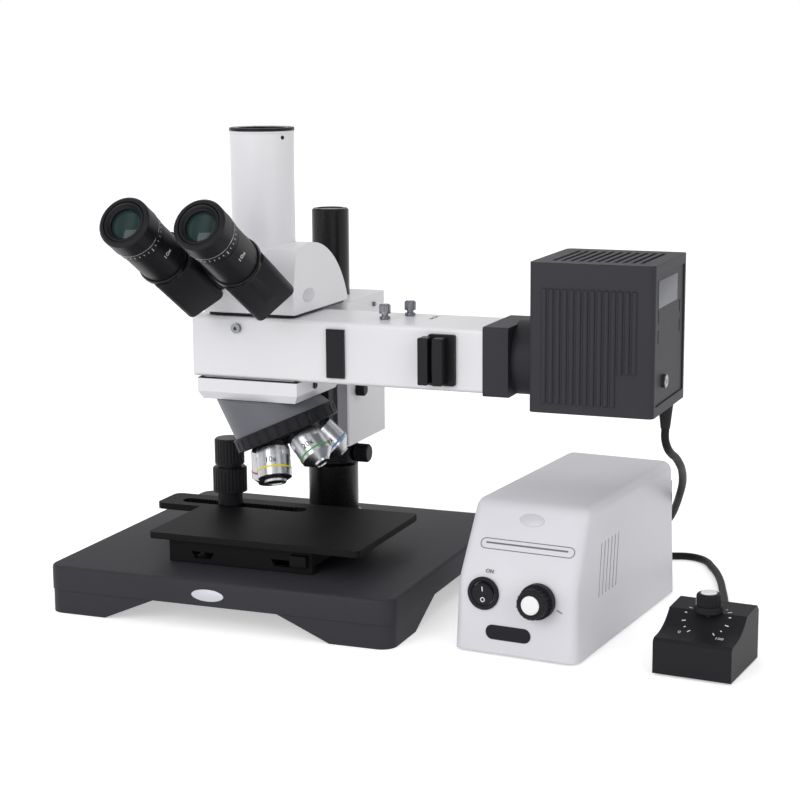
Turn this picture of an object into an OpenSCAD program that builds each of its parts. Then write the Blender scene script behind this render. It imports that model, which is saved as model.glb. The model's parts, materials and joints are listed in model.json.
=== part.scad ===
// Trinocular metallurgical microscope on a flat stand, with its lamp supply and dimmer box.
// Millimetres. X to the user's right, Y to the rear, Z up, origin at the middle of the base on the bench.

/* [Base] */
// Width of the base, left to right
base_w = 280; // [250:1:320]
// Depth of the base, front to rear
base_d = 266; // [240:1:300]
// Height of the base's top face
base_h = 36.5; // [32:0.5:44]
// Thickness of the base plate above its feet
base_plate_t = 18.5; // [14:0.5:22]
// Radius of the base's corners, seen from above
base_corner_r = 24; // [14:1:30]
// Length of each corner foot along an edge
foot_len = 48; // [36:1:60]
// Run of the slope beside each foot
foot_slope = 42; // [20:1:50]
// Distance of the tapped foot holes from the base's edges
foot_hole_inset = 24; // [18:1:28]
// Tapping radius of the M6 holes under the feet
foot_hole_r = 2.5; // [2:0.1:3.5]

/* [Column] */
// Radius of the round post
post_r = 15; // [12:0.5:18]
// Height of the post's top
post_top = 291; // [270:1:320]
// Distance of the post behind the middle of the base
post_y = 90; // [84:1:96]
// Radius of the lower sleeve
pedestal_r = 20.5; // [19.5:0.5:24]
// Height of the lower sleeve's top
pedestal_top = 81; // [70:1:86]
// Height of the stop collar
collar_h = 16; // [12:0.5:18]

/* [Focus block] */
// Half width of the focus block
block_hw = 34; // [30:0.5:38]
// Depth of the focus block
block_d = 84; // [76:1:96]
// Front face of the focus block
block_y = 40.5; // [39:0.5:44]
// Underside of the focus block
block_z = 105; // [100:1:110]
// Height of the focus block
block_h = 116; // [100:1:116]
// Height of the focusing shaft
shaft_z = 140; // [134:1:150]
// Radius of the coarse focus knob
coarse_r = 19; // [15:0.5:22]

/* [Arm] */
// Length of the illuminator arm
arm_l = 230; // [220:1:240]
// Left end of the arm
arm_x = -45; // [-50:1:-42]
// Width of the arm, front to rear
arm_w = 65; // [62:0.5:66]
// Underside of the arm
arm_z = 176.3; // [172:0.1:180]
// Height of the arm
arm_h = 46.1; // [44:0.1:50]
// Wall of the arm's casting
arm_wall = 3.5; // [2.5:0.5:5]
// Distance of the optical axis in front of the base's middle
optic_y = -35.5; // [-37:0.5:-34]

/* [Nosepiece] */
// Tilt of the turret's axis
turret_tilt = 24; // [23:0.5:25]
// Radius of the turret's knurled disc
turret_r = 40.5; // [38:0.5:43]
// Thickness of the turret's disc
turret_t = 8; // [6:0.5:9]
// Radius of the circle of objective seats
seat_r = 18.5; // [18:0.1:19]
// Height of the active objective's seat
seat_z = 124; // [120:1:126]
// Radius of the objectives' barrels
objective_r = 12.7; // [11.5:0.1:13]
// Length of an objective below its seat
objective_l = 35; // [32:0.5:38]

/* [Head] */
// Half width of the head
head_hw = 37; // [34:0.5:39]
// Radius of the camera tube
tube_r = 23.7; // [21:0.1:25]
// Bore radius of the camera tube's mouth
port_r = 19; // [15:0.5:20]
// Height of the camera tube's top
tube_top = 361; // [340:1:380]
// Height at which the eyepieces' hinge axis meets the optical axis
hinge_z = 239.8; // [236:0.1:244]
// Slope of the eyepieces above the horizontal
ocular_tilt = 30; // [28:1:32]
// Half of the distance between the eyepieces
half_ipd = 28.5; // [27.5:0.1:32]
// Distance of each eyepiece from the hinge axis
swing_r = 37.5; // [36:0.5:39]
// Radius of the rubber eyecups
eyecup_r = 18.8; // [17:0.1:20]
// Distance of the eyecups' rims along the hinge axis
eyecup_end = 171; // [160:1:180]

/* [Lamp house] */
// Left face of the lamp house
lamp_x = 225; // [222:1:230]
// Width of the lamp house, left to right
lamp_w = 88.5; // [80:0.5:96]
// Depth of the lamp house
lamp_d = 93.5; // [86:0.5:100]
// Height of the lamp house
lamp_h = 104.5; // [96:0.5:112]
// Underside of the lamp house
lamp_z = 169.5; // [164:0.5:172]
// Wall of the lamp house
lamp_wall = 3; // [2:0.5:4]

/* [Stage] */
// Height of the stage plate's top
stage_z = 60; // [58:0.5:62]
// Thickness of the stage plate
stage_t = 5; // [4:0.5:6]
// Width of the stage plate
stage_w = 172; // [150:1:190]
// Depth of the stage plate
stage_d = 122; // [110:1:130]
// Left edge of the stage plate
stage_x = -72; // [-76:1:-70]
// Front edge of the stage plate
stage_y = -97.5; // [-100:0.5:-90]
// Length of the slotted ear at the plate's rear left
ear_l = 39.5; // [30:0.5:46]
// Depth of the slotted ear
ear_d = 36.5; // [34:0.5:40]
// Position of the coaxial stage knobs, left to right
knob_x = -53; // [-56:0.5:-50]
// Position of the coaxial stage knobs, front to rear
knob_y = 4.5; // [3:0.5:6]

/* [Supply and dimmer] */
// Width of the lamp supply at its foot
supply_w = 94; // [84:1:104]
// Depth of the lamp supply
supply_d = 209; // [190:1:225]
// Height of the lamp supply
supply_h = 105; // [95:1:112]
// Inward lean of the supply's side walls
supply_lean = 5.5; // [3:0.5:8]
// Wall of the supply's cover
supply_wall = 2.5; // [2:0.5:4]
// Width of the dimmer box
dimmer_w = 55; // [50:1:62]
// Depth of the dimmer box
dimmer_d = 63; // [58:1:70]
// Height of the dimmer box at its rear
dimmer_h = 40; // [36:1:46]

/* [Hidden] */
// Running clearance of round fits, and clearance between parts that slide or face each other
run = 0.05;
gap = 0.3;
$fn = 64;

optic_x = 0;
foot_z = base_h - base_plate_t;
pad_proud = 0.2;
collar_z = pedestal_top + 1;
block_top = block_z + block_h;

// Focusing rack and pinion: module, teeth and pitch radius
gear_m = 0.8;
mesh_play = 0.12;
pinion_teeth = 14;
pinion_pitch_r = gear_m * pinion_teeth / 2;
slide_y = block_y - 19.8;
tongue_d = 9;
rack_t = 14.3;
rack_shift = 2 * gear_m * PI;
rack_pitch_y = slide_y + tongue_d + rack_t;
shaft_y = rack_pitch_y + pinion_pitch_r + mesh_play;
shaft_r = 4;

arm_y = optic_y - arm_w / 2;
arm_mid_z = arm_z + arm_h / 2;
arm_top = arm_z + arm_h;
arm_end = arm_x + arm_l;
holder_t = 15.8;
holder_z = arm_z - 1 - holder_t;
slot_x = 72;
slot_w = 14;
slot_h = 36;
filter_x = 153;

seat_shift = seat_r * cos(turret_tilt);
turret_x = optic_x + seat_shift;
turret_z = seat_z + seat_r * sin(turret_tilt);
socket_r = 9.8;
seat_depth = 3;
flange_r = 10.3;
seat_count = 5;
seat_pitch = 360 / seat_count;

head_z = arm_top + 0.5;
head_base_t = 2;
head_top = 279;
tube_foot = head_top - 9;
head_front = optic_y - 27;
head_rear = block_y - 3;
swing_drop = sqrt(swing_r * swing_r - half_ipd * half_ipd);
housing_r = 19.5;
housing_end = 50.7;
housing_l = 56;
barrel_r = 17.6;
lug_l = 26;

adapter_end = arm_end + 19;
neck_r = 27;
lamp_y = optic_y - 5 - lamp_d / 2;

bed_t = 4;
rail_z = base_h + bed_t;
carriage_z = rail_z + 1.5;
carriage_top = stage_z - stage_t - 0.5;
carriage_w = 118;
carriage_front = stage_y + 7.5;
sleeve_r = 4.5;

supply_pos = [178.5, -116.8];
supply_turn = -5.5;
dimmer_pos = [323.9, -118.5];
dimmer_turn = -5;
cord_r = 3;

// Lamp cord, from its gland under the lamp house to the supply's rear
lamp_route = [[305, -15, 149.5], [305, -15, 142], [306, -12, 135], [307, -4, 129], [308, 6, 124],
    [308, 20, 116], [306, 36, 108], [303, 52, 99], [299, 68, 89], [294, 82, 78], [288, 97, 66],
    [281, 112, 54], [272, 126, 42], [261, 137, 30], [248, 143.5, 19], [235, 143, 11], [224, 137, 6.5],
    [216.5, 126, 6.5], [213.6, 113, 10.4], [212.66, 102.33, 11]];
// Dimmer cord, from the supply's rear to the dimmer's rear
dimmer_route = [[274.38, 96.39, 11], [275.1, 104, 11], [274, 116, 8], [269, 128, 4.4], [261, 138.5, 3],
    [255.3, 149, 3], [254.8, 159.5, 3], [260, 169.5, 3], [270.5, 175.5, 3], [281.7, 177.5, 3],
    [291.5, 173.5, 3], [299, 165.5, 3], [304, 155.5, 3], [311.8, 138.8, 3], [319.8, 117, 3],
    [327.5, 90, 3], [333, 70, 3], [339, 46, 3], [345, 22, 3], [351, -2, 3], [356, -15, 4.2],
    [360, -25, 7.2], [361, -33, 9], [360.35, -40.38, 9]];

// Rectangle with true round corners, centred
module round_rect(w, d, r) {
    square([w - 2 * r, d], center = true);
    square([w, d - 2 * r], center = true);
    for (x = [-1, 1], y = [-1, 1])
        translate([x * (w / 2 - r), y * (d / 2 - r)]) circle(r);
}

// Upright block with round corners, standing on z = 0
module round_block(w, d, h, r) {
    linear_extrude(h) round_rect(w, d, r);
}

// Cylinder that lies along X, from x = 0
module rod_x(r, l) {
    rotate([0, 90, 0]) cylinder(r = r, h = l);
}

// Cylinder that lies along Y, from y = 0
module rod_y(r, l) {
    rotate([-90, 0, 0]) cylinder(r = r, h = l);
}

// Round knob with a fluted rim and a chamfered top
module fluted_knob(r, h, flutes, flute_r) {
    difference() {
        rotate_extrude() polygon([[0, 0], [r, 0], [r, h - 1.2], [r - 1.2, h], [0, h]]);
        for (i = [0 : flutes - 1])
            rotate([0, 0, i * 360 / flutes])
                translate([r + flute_r * 0.45, 0, 1.5]) cylinder(r = flute_r, h = h, $fn = 24);
    }
}

// Straight-flanked gear outline with backlash, centred on a tooth space at angle 0
function gear_points(teeth, m, backlash) = [for (i = [0 : teeth - 1], k = [0 : 3])
    let (pitch = m * teeth / 2,
        root = pitch - 1.25 * m,
        tip = pitch + 0.95 * m,
        radius = k == 0 || k == 3 ? root : tip,
        half = k == 0 || k == 3 ? (m * PI * 0.36 - backlash) / root : (m * PI * 0.13 - backlash / 2) / tip,
        turn = (i + 0.5) * 360 / teeth + (k < 2 ? -1 : 1) * half * 180 / PI)
    [radius * cos(turn), radius * sin(turn)]];

// Rack outline, pitch line on y = 0, teeth towards +y, a tooth centred on x = 0
function rack_points(count, m, back) = concat([[(-count - 0.5) * m * PI, -back], [(-count - 0.5) * m * PI, -1.25 * m]],
    [for (i = [-count : count], k = [0 : 3])
        let (wide = k == 0 || k == 3,
            x = (i * PI + (k < 2 ? -1 : 1) * PI * (wide ? 0.34 : 0.12)) * m)
        [x, wide ? -1.25 * m : 0.9 * m]],
    [[(count + 0.5) * m * PI, -1.25 * m], [(count + 0.5) * m * PI, -back]]);

// Round tube swept along a route of points
function unit(v) = v / norm(v);
function route_dir(path, i) = unit(path[min(i + 1, len(path) - 1)] - path[max(i - 1, 0)]);
function route_ring(path, i, r, sides) = let (d = route_dir(path, i),
        side = unit(cross(abs(d[2]) > 0.9 ? [0, 1, 0] : [0, 0, 1], d)),
        lift = cross(d, side))
    [for (k = [0 : sides - 1]) path[i] + r * (cos(k * 360 / sides) * side + sin(k * 360 / sides) * lift)];
module cord_tube(path, r, sides = 8) {
    points = [for (i = [0 : len(path) - 1]) each route_ring(path, i, r, sides)];
    last = (len(path) - 1) * sides;
    polyhedron(points, concat([[for (k = [0 : sides - 1]) k]], [[for (k = [sides - 1 : -1 : 0]) last + k]],
        [for (i = [0 : len(path) - 2], k = [0 : sides - 1])
            let (a = i * sides + k, b = i * sides + (k + 1) % sides) [a, a + sides, b + sides, b]]));
}

// Base casting: plate with a chamfered top edge, four corner feet and a ribbed underside
module base_foot() {
    reach = foot_len + foot_slope;
    intersection() {
        translate([0, 0, 0]) round_block(base_w - 1.6, base_d - 1.6, foot_z + 0.01, base_corner_r - 0.8);
        translate([0, base_d / 2, 0]) rotate([90, 0, 0]) linear_extrude(base_d)
            polygon([[base_w / 2 - foot_len, pad_proud], [base_w / 2, pad_proud], [base_w / 2, foot_z + 1],
                [base_w / 2 - reach, foot_z + 1], [base_w / 2 - reach, foot_z]]);
        rotate([90, 0, 90]) linear_extrude(base_w)
            polygon([[base_d / 2 - foot_len, pad_proud], [base_d / 2, pad_proud], [base_d / 2, foot_z + 1],
                [base_d / 2 - reach, foot_z + 1], [base_d / 2 - reach, foot_z]]);
    }
}
module at_feet() {
    for (x = [-1, 1], y = [-1, 1])
        translate([x * (base_w / 2 - foot_hole_inset), y * (base_d / 2 - foot_hole_inset), 0]) children();
}
module base() {
    chamfer = 2.5;
    pocket_wall = 14;
    pocket_h = 8;
    color("#38373A") difference() {
        union() {
            translate([0, 0, foot_z]) round_block(base_w, base_d, base_plate_t - chamfer, base_corner_r);
            hull() for (s = [0, 1])
                translate([0, 0, base_h - chamfer + s * (chamfer - 0.01)])
                    linear_extrude(0.01) round_rect(base_w - 2 * s * chamfer, base_d - 2 * s * chamfer,
                        base_corner_r - s * chamfer, $fn = 32);
            for (x = [0, 1], y = [0, 1]) mirror([x, 0, 0]) mirror([0, y, 0]) base_foot();
        }
        // Cast pockets either side of the middle ribs
        for (x = [-1, 1])
            translate([x * (base_w / 4 - 18), -10, foot_z - 1])
                round_block(base_w / 2 - 84, base_d - 170, pocket_h + 1, 8);
        at_feet() translate([0, 0, -1]) cylinder(r = foot_hole_r, h = 13);
        for (x = [-1, 1], y = [-1, 1])
            translate([x * (base_w / 2 - foot_hole_inset - 16), y * (base_d / 2 - foot_hole_inset), -1])
                cylinder(r = 8 + run, h = 3);
        translate([0, post_y, foot_z - 1]) cylinder(r = 11, h = 11);
        translate([0, post_y, foot_z]) cylinder(r = 6.2, h = base_plate_t + 1);
    }
}

// Rubber pads let into the feet, and the pads under the supply and the dimmer
module rubber_feet() {
    color("#1C1C1D") {
        for (x = [-1, 1], y = [-1, 1])
            translate([x * (base_w / 2 - foot_hole_inset - 16), y * (base_d / 2 - foot_hole_inset), 0])
                cylinder(r = 8, h = 2);
        in_supply() for (x = [12, supply_w - 12], y = [18, supply_d - 14])
            translate([x, y, 0]) cylinder(r = 6, h = 2.2);
        in_dimmer() for (x = [9, dimmer_w - 9], y = [9, dimmer_d - 9])
            translate([x, y, 0]) cylinder(r = 4, h = 1.6);
    }
}

// Lower sleeve, turned steel, with a shallow flange at its foot
module pedestal() {
    color("#202022") translate([0, post_y, base_h]) rotate_extrude()
        polygon([[post_r + run, 0], [pedestal_r + 3, 0], [pedestal_r + 3, 2.5], [pedestal_r, 4.5],
            [pedestal_r, pedestal_top - base_h - 1], [pedestal_r - 1, pedestal_top - base_h],
            [post_r + run, pedestal_top - base_h]]);
}

// Round post, with the stud and nut that hold it down on the base
module post() {
    color("#2A2A2C") translate([0, post_y, 0]) {
        rotate_extrude() polygon([[0, base_h], [post_r, base_h], [post_r, post_top - 1.5], [post_r - 1.5, post_top],
            [post_r - 4, post_top], [post_r - 4.6, post_top - 0.8], [0, post_top - 0.8]]);
        translate([0, 0, foot_z + 9]) cylinder(r = 6, h = base_plate_t - 8);
        translate([0, 0, foot_z + 0.5]) cylinder(r = 10, h = 9, $fn = 6);
    }
}

// Stop collar that the focus block rests on, with a clamping slit
module stop_collar() {
    color("#232325") translate([0, post_y, collar_z]) difference() {
        rotate_extrude() polygon([[post_r + run, 0], [pedestal_r - 0.8, 0], [pedestal_r, 0.8],
            [pedestal_r, collar_h - 0.8], [pedestal_r - 0.8, collar_h], [post_r + run, collar_h]]);
        translate([0, 0, collar_h / 2]) rod_x(2.5 + run, pedestal_r + 2);
        translate([-pedestal_r - 1, -0.8, -1]) cube([pedestal_r, 1.6, collar_h + 2]);
    }
}

// Knurled clamp knob of the stop collar
module collar_knob() {
    color("#161617") translate([0, post_y, collar_z + collar_h / 2]) {
        translate([post_r + 0.4, 0, 0]) rod_x(2.5, pedestal_r - post_r + 1);
        translate([pedestal_r + gap, 0, 0]) rotate([0, 90, 0]) fluted_knob(7.6, 11.5, 18, 1.1);
    }
}

// White focus block, clamped round the post, with the pinion's pocket and bore
module focus_block() {
    color("#E2E2E5") difference() {
        translate([0, block_y + block_d / 2, block_z]) round_block(2 * block_hw, block_d, block_h, 5);
        translate([0, post_y, block_z - 1]) cylinder(r = post_r + run, h = block_h + 2);
        // Clamping slit and the two cross screws behind the post
        translate([-0.9, post_y + post_r - 2, block_z - 1]) cube([1.8, block_d, block_h + 2]);
        for (z = [28, block_h - 28])
            translate([-block_hw - 1, post_y + post_r + 9, block_z + z]) {
                rod_x(2.6, block_hw + 20);
                rod_x(5, 9);
            }
        translate([-block_hw - 1, shaft_y, shaft_z]) rod_x(shaft_r + run, block_hw + 20);
        translate([-7, block_y - 1, shaft_z - 10]) cube([14, shaft_y - block_y + 9, 20]);
        translate([-6, block_y - 1, block_z - 1]) cube([12, rack_pitch_y - block_y + 2, 82]);
        translate([block_hw - 8, post_y - 28, 148.5]) rod_x(3 + run, 12);
        // Seat of the polished index pin
        translate([block_hw - 3, post_y + 7, block_top - 8]) rod_x(2, 5);
    }
}

// Dark fixed guide with its dovetail groove, screwed to the front of the focus block
guide_y = slide_y + 0.5;
guide_top = 196;
guide_z = block_z + 2;
module dovetail(narrow, wide, depth, y0) {
    polygon([[-narrow, y0], [-wide, y0 + depth], [wide, y0 + depth], [narrow, y0]]);
}
module focus_guide() {
    color("#5A5B60") difference() {
        translate([-block_hw, guide_y, guide_z])
            cube([2 * block_hw, block_y - guide_y, guide_top - guide_z]);
        translate([0, 0, guide_z - 1]) linear_extrude(guide_top - guide_z + 2)
            dovetail(12 + gap, 12 + gap + (tongue_d + gap + 0.5) * 0.6, tongue_d + gap + 0.5, guide_y - 0.5);
        // Way for the rack, and the pocket in which the pinion turns
        translate([-6, guide_y, guide_z - 1]) cube([12, shaft_y - guide_y, guide_top - guide_z - 8]);
    }
}

// Small thumbscrew on the right flank that sets the drive's stiffness
module tension_knob() {
    color("#171718") translate([block_hw - 7, post_y - 28, 148.5]) {
        rod_x(3, 7.5);
        translate([7.3, 0, 0]) rotate([0, 90, 0]) fluted_knob(5.2, 7, 14, 0.8);
    }
}

// Coarse focus knob on its cross shaft, with the pinion cut into the shaft
module coarse_knob() {
    knob_l = 24;
    color("#1B1B1C") difference() {
        translate([-block_hw - gap, shaft_y, shaft_z]) rotate([0, -90, 0]) difference() {
            fluted_knob(coarse_r, knob_l, 36, 1.3);
            translate([0, 0, knob_l - 5]) cylinder(r = 13, h = 6);
        }
        translate([-block_hw - knob_l - 2, shaft_y, shaft_z]) rod_x(2.5 + run, knob_l + 20);
    }
    color("#C8C9CC") difference() {
        union() {
            translate([-block_hw - gap - 8, shaft_y, shaft_z]) rod_x(shaft_r, block_hw + 20);
            translate([-5, shaft_y, shaft_z]) rotate([0, 90, 0]) linear_extrude(10)
                rotate([0, 0, -90]) polygon(gear_points(pinion_teeth, gear_m, 0.1));
        }
        translate([-block_hw - knob_l - 2, shaft_y, shaft_z]) rod_x(2.5 + run, knob_l + 12);
    }
}

// Fine focus knob, coaxial with the coarse one
module fine_knob() {
    color("#242426") translate([-block_hw - gap - 19 - gap, shaft_y, shaft_z]) {
        translate([0, 0, 0]) rotate([0, -90, 0]) fluted_knob(12, 15, 24, 0.9);
        rod_x(2.5, 24);
    }
}

// Dovetail rail, narrow at its foot, or with extra room the groove that runs on it
module rail(narrow, h, extra) {
    polygon([[-narrow - 1.2 * extra, 0], [narrow + 1.2 * extra, 0], [narrow + 1.2 * extra + 0.6 * (h + extra), h + extra],
        [-narrow - 1.2 * extra - 0.6 * (h + extra), h + extra]]);
}
// Sections of the stage's ways: two along Y under the carriage, two along X under the plate
module y_ways(extra, y0, l) {
    for (x = [-30, 36])
        translate([x, y0 + l, rail_z]) rotate([90, 0, 0]) linear_extrude(l) rail(6, 5, extra);
}
module x_ways(extra, x0, l) {
    for (y = [22, 72])
        translate([x0, stage_y + y, stage_z - stage_t]) rotate([90, 0, 90]) linear_extrude(l) mirror([0, 1]) rail(4, 3.6, extra);
}

// Stage bed, fixed on the base: dovetail rails, and the rack along its left edge
module stage_bed() {
    left = knob_x + pinion_pitch_r + mesh_play;
    color("#2B2B2D") {
        translate([left + 1, -56, base_h]) cube([48 - left, 100, bed_t]);
        translate([left, knob_y, base_h]) rotate([0, 0, 90]) linear_extrude(bed_t)
            polygon(rack_points(15, gear_m, 3));
        y_ways(0, -56, 100);
    }
}

// Carriage that slides front to rear on the bed and carries the coaxial knobs
module stage_carriage() {
    color("#1D1D1F") difference() {
        union() {
            translate([knob_x - 5, carriage_front, carriage_z])
                cube([carriage_w, 118, carriage_top - carriage_z]);
            translate([knob_x - 5, carriage_front, base_h + gap]) cube([carriage_w, 5, 8]);
            translate([knob_x, knob_y, carriage_z]) cylinder(r = 12, h = carriage_top - carriage_z);
            // Stop lug on the front
            translate([44, carriage_front - 5, 43]) round_lug();
        }
        y_ways(gap, carriage_front - 1, 130);
        x_ways(gap, knob_x - 10, carriage_w + 20);
        translate([knob_x, knob_y, carriage_z - 1]) cylinder(r = sleeve_r + run, h = 20);
    }
}
module round_lug() {
    cube([13, 6, 8]);
}

// Stage plate with its slotted ear; the rear edge of the slot is the X rack
module stage_plate() {
    slot_l = 108;
    color("#3A393C") difference() {
        union() {
            translate([stage_x + stage_w / 2, stage_y + stage_d / 2, stage_z - stage_t])
                round_block(stage_w, stage_d, stage_t, 4);
            translate([stage_x - ear_l / 2 + 20, stage_y + stage_d - ear_d / 2, stage_z - stage_t])
                round_block(ear_l + 40, ear_d, stage_t, 6);
            x_ways(0, stage_x + 14, stage_w - 28);
        }
        translate([knob_x + 12, knob_y, stage_z - stage_t - 1]) linear_extrude(stage_t + 2) difference() {
            round_rect(slot_l, 14, 6.9);
            translate([rack_x - knob_x - 12, pinion_pitch_r + mesh_play]) rotate(180)
                polygon(rack_points(18, gear_m, 3));
        }
        // The strip with the knobs lies a little lower than the working face
        translate([stage_x - 80, stage_y + 86, stage_z - 0.1]) cube([300, 60, 1]);
    }
}
rack_x = knob_x + 3 * gear_m * PI;

// Upper of the two coaxial knobs: its inner shaft climbs the bed's rack, front to rear
module stage_y_knob() {
    color("#19191A") translate([knob_x, knob_y, 0]) {
        translate([0, 0, stage_z + 33.5]) fluted_knob(11.8, 20.5, 26, 0.9);
        translate([0, 0, base_h + 0.6]) cylinder(r = 2.5, h = stage_z + 34 - base_h);
        translate([0, 0, base_h + 0.6]) linear_extrude(bed_t - 0.4) polygon(gear_points(pinion_teeth, gear_m, 0.1));
    }
}

// Lower of the two coaxial knobs: its sleeve's pinion moves the plate left and right
module stage_x_knob() {
    color("#151516") translate([knob_x, knob_y, 0]) difference() {
        union() {
            translate([0, 0, stage_z + 11]) fluted_knob(13.6, 20, 28, 1);
            translate([0, 0, stage_z + gap]) cylinder(r = 10, h = 11);
            translate([0, 0, carriage_z]) cylinder(r = sleeve_r, h = stage_z + 1 - carriage_z);
            translate([0, 0, stage_z - stage_t + gap]) rotate(90) linear_extrude(stage_t - 2 * gap)
                polygon(gear_points(pinion_teeth, gear_m, 0.1));
            translate([0, 0, stage_z + 31]) cylinder(r = 9.5, h = 2.2);
        }
        translate([0, 0, carriage_z - 1]) cylinder(r = 2.5 + run, h = 60);
    }
}

// Black slide with its dovetail tongue and focusing rack
module slide_way() {
    color("#1A1A1B") {
        translate([-32, holder_rear + 0.01, 112]) cube([64, slide_y - holder_rear, 84]);
        translate([0, 0, 114]) linear_extrude(80) dovetail(12, 12 + tongue_d * 0.6, tongue_d, slide_y);
    }
    color("#B9BABD") translate([-4, rack_pitch_y, shaft_z + rack_shift]) rotate([0, 90, 0])
        linear_extrude(8) polygon(rack_points(9, gear_m, rack_t + 0.2));
}

// White holder under the arm, with the bore of the light path
holder_front = optic_y - 34.5;
holder_rear = slide_y - 12.2;
module body_holder() {
    hw = 41;
    d = holder_rear - holder_front;
    color("#DADADD") difference() {
        union() {
            hull() {
                translate([-hw, holder_front, holder_z + 6]) cube([2 * hw, d, holder_t - 6]);
                translate([-hw + 3, holder_front + 3, holder_z]) cube([2 * hw - 6, d - 3, 1]);
            }
            // Raised seat that the arm stands on
            translate([-hw + 4, holder_front + 4, holder_z + holder_t - 1]) cube([2 * hw - 8, d - 8, 2]);
        }
        translate([optic_x, optic_y, holder_z - 1]) cylinder(r = 15, h = holder_t + 4);
        translate([hw - 8, optic_y - 2.6, holder_z + 9.7]) rod_x(1.6, 10);
    }
}

// Frame of the tilted turret: origin at the middle of the disc's lower face
module in_turret() {
    translate([turret_x, optic_y, turret_z]) rotate([0, -turret_tilt, 0]) children();
}

// Grey wedge that carries the turret, with the shoulder bolt that it turns on
module nosepiece_mount() {
    color("#77797F") difference() {
        union() {
            hull() {
                translate([optic_x, optic_y, holder_z - gap - 1]) cylinder(r = 39, h = 1, $fn = 64);
                in_turret() translate([0, 0, turret_t + gap]) cylinder(r = turret_r - 2, h = 1, $fn = 64);
            }
            in_turret() translate([0, 0, -7]) cylinder(r = 4.5, h = turret_t + 9);
            in_turret() translate([0, 0, -9]) cylinder(r = 6, h = 2);
            translate([optic_x, optic_y, holder_z - 1.4]) cylinder(r = 15 - run, h = 8);
        }
        translate([optic_x, optic_y, seat_z]) cylinder(r = 8, h = 60);
    }
}

// Knurled quintuple turret: disc, hub and five seats, each square to its own objective's axis
module at_seat(index) {
    in_turret() rotate([0, 0, index * seat_pitch]) translate([-seat_r, 0, 0]) rotate([0, turret_tilt, 0])
        children();
}
module turret_disc() {
    knurls = 60;
    color("#242426") difference() {
        union() {
            in_turret() {
                difference() {
                    rotate_extrude() polygon([[0, 0], [turret_r - 1, 0], [turret_r, 1], [turret_r, turret_t - 1],
                        [turret_r - 1, turret_t], [0, turret_t]]);
                    for (i = [0 : knurls - 1])
                        rotate([0, 0, i * 360 / knurls]) translate([turret_r + 0.5, 0, 1.6])
                            cylinder(r = 1.1, h = turret_t - 3.2, $fn = 16);
                }
                rotate_extrude() polygon([[0, -6], [19, -6], [27, -2], [28, 1], [0, 1]]);
            }
        }
        for (i = [0 : seat_count - 1]) {
            at_seat(i) translate([0, 0, -9.5]) cylinder(r1 = flange_r + 3.2, r2 = flange_r + gap, h = 9.5);
            at_seat(i) translate([0, 0, -1]) cylinder(r = socket_r, h = 1 + seat_depth);
            at_seat(i) translate([0, 0, -2]) cylinder(r = 7, h = 30);
        }
        in_turret() translate([0, 0, -8]) cylinder(r = 4.5 + run, h = turret_t + 10);
        in_turret() translate([0, 0, -10]) cylinder(r = 6 + gap, h = 3.3);
    }
}

// The four objectives, screwed into their seats, each with a front lens of its own size
module objective(front_r, taper) {
    l = objective_l;
    rotate_extrude() polygon([[5, 2.8], [socket_r - run, 2.8], [socket_r - run, -run], [flange_r, -run], [flange_r, -1.5],
        [objective_r, -9], [objective_r, -l + taper], [front_r + 2.2, -l + 1.6], [front_r + 1.6, -l], [front_r, -l],
        [front_r - 1, -l + 2], [5, -l + 8]]);
}
module objectives() {
    color("#C9CACD") {
        at_seat(0) objective(6, 5);
        at_seat(1) objective(6.5, 4);
        at_seat(2) objective(4.5, 7);
        at_seat(3) objective(3.5, 8);
    }
    // Dust plug of the empty seat
    color("#242426") at_seat(4) {
        translate([0, 0, -1.5]) cylinder(r = socket_r - run, h = 4.3);
        translate([0, 0, -1.5 - run]) cylinder(r = flange_r, h = 1.5);
    }
}

// Hollow arm with its slots, light ports and lamp end
module arm_shell() {
    port_r2 = 15;
    color("#E4E4E7") difference() {
        translate([arm_x, optic_y, arm_mid_z]) rotate([90, 0, 90]) round_block(arm_w, arm_h, arm_l, 3);
        translate([arm_x + arm_wall, optic_y, arm_mid_z]) rotate([90, 0, 90])
            round_block(arm_w - 2 * arm_wall, arm_h - 2 * arm_wall, arm_l - 2 * arm_wall, 2);
        translate([optic_x, optic_y, arm_z - 1]) cylinder(r = port_r2, h = arm_h + 2);
        translate([arm_end - arm_wall - 1, optic_y, arm_mid_z]) rod_x(18, arm_wall + 2);
        // Slots for the analyser and for the filters, in the front wall
        translate([slot_x - slot_w / 2 + 2, arm_y - 1, arm_mid_z - slot_h / 2 + 4])
            cube([slot_w - 4, arm_wall + 2, slot_h - 8]);
        translate([filter_x - 4.2, arm_y - 1, arm_mid_z - 15]) cube([8.4, arm_wall + 2, 30]);
        // Iris lever's slot, centring screws and the head's clamp screw
        translate([130, optic_y + 4.5, arm_top - arm_wall - 1]) cube([3, 18, arm_wall + 2]);
        translate([iris_x, optic_y - 6, arm_top - arm_wall - 1]) cylinder(r = 2.5 + run, h = arm_wall + 2);
        translate([iris_x + 11, optic_y + 17, arm_top - arm_wall - 1]) cylinder(r = 2.5 + run, h = arm_wall + 2);
        translate([-8, arm_y - 1, arm_top - 8]) rod_y(2.5 + run, arm_wall + 2);
    }
}

// Analyser slider: black grip outside the front wall, blade inside
module slot_slider() {
    color("#2E2D31") translate([slot_x, 0, arm_mid_z]) {
        translate([-slot_w / 2, arm_y - gap - 2.2, -slot_h / 2]) cube([slot_w, 2.2, slot_h]);
        difference() {
            translate([-slot_w / 2 + 2 + gap, arm_y - 1, -slot_h / 2 + 4 + gap])
                cube([slot_w - 4 - 2 * gap, 52, slot_h - 8 - 2 * gap]);
            translate([-slot_w, optic_y, 0]) rod_x(10, 2 * slot_w);
        }
    }
}

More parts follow.
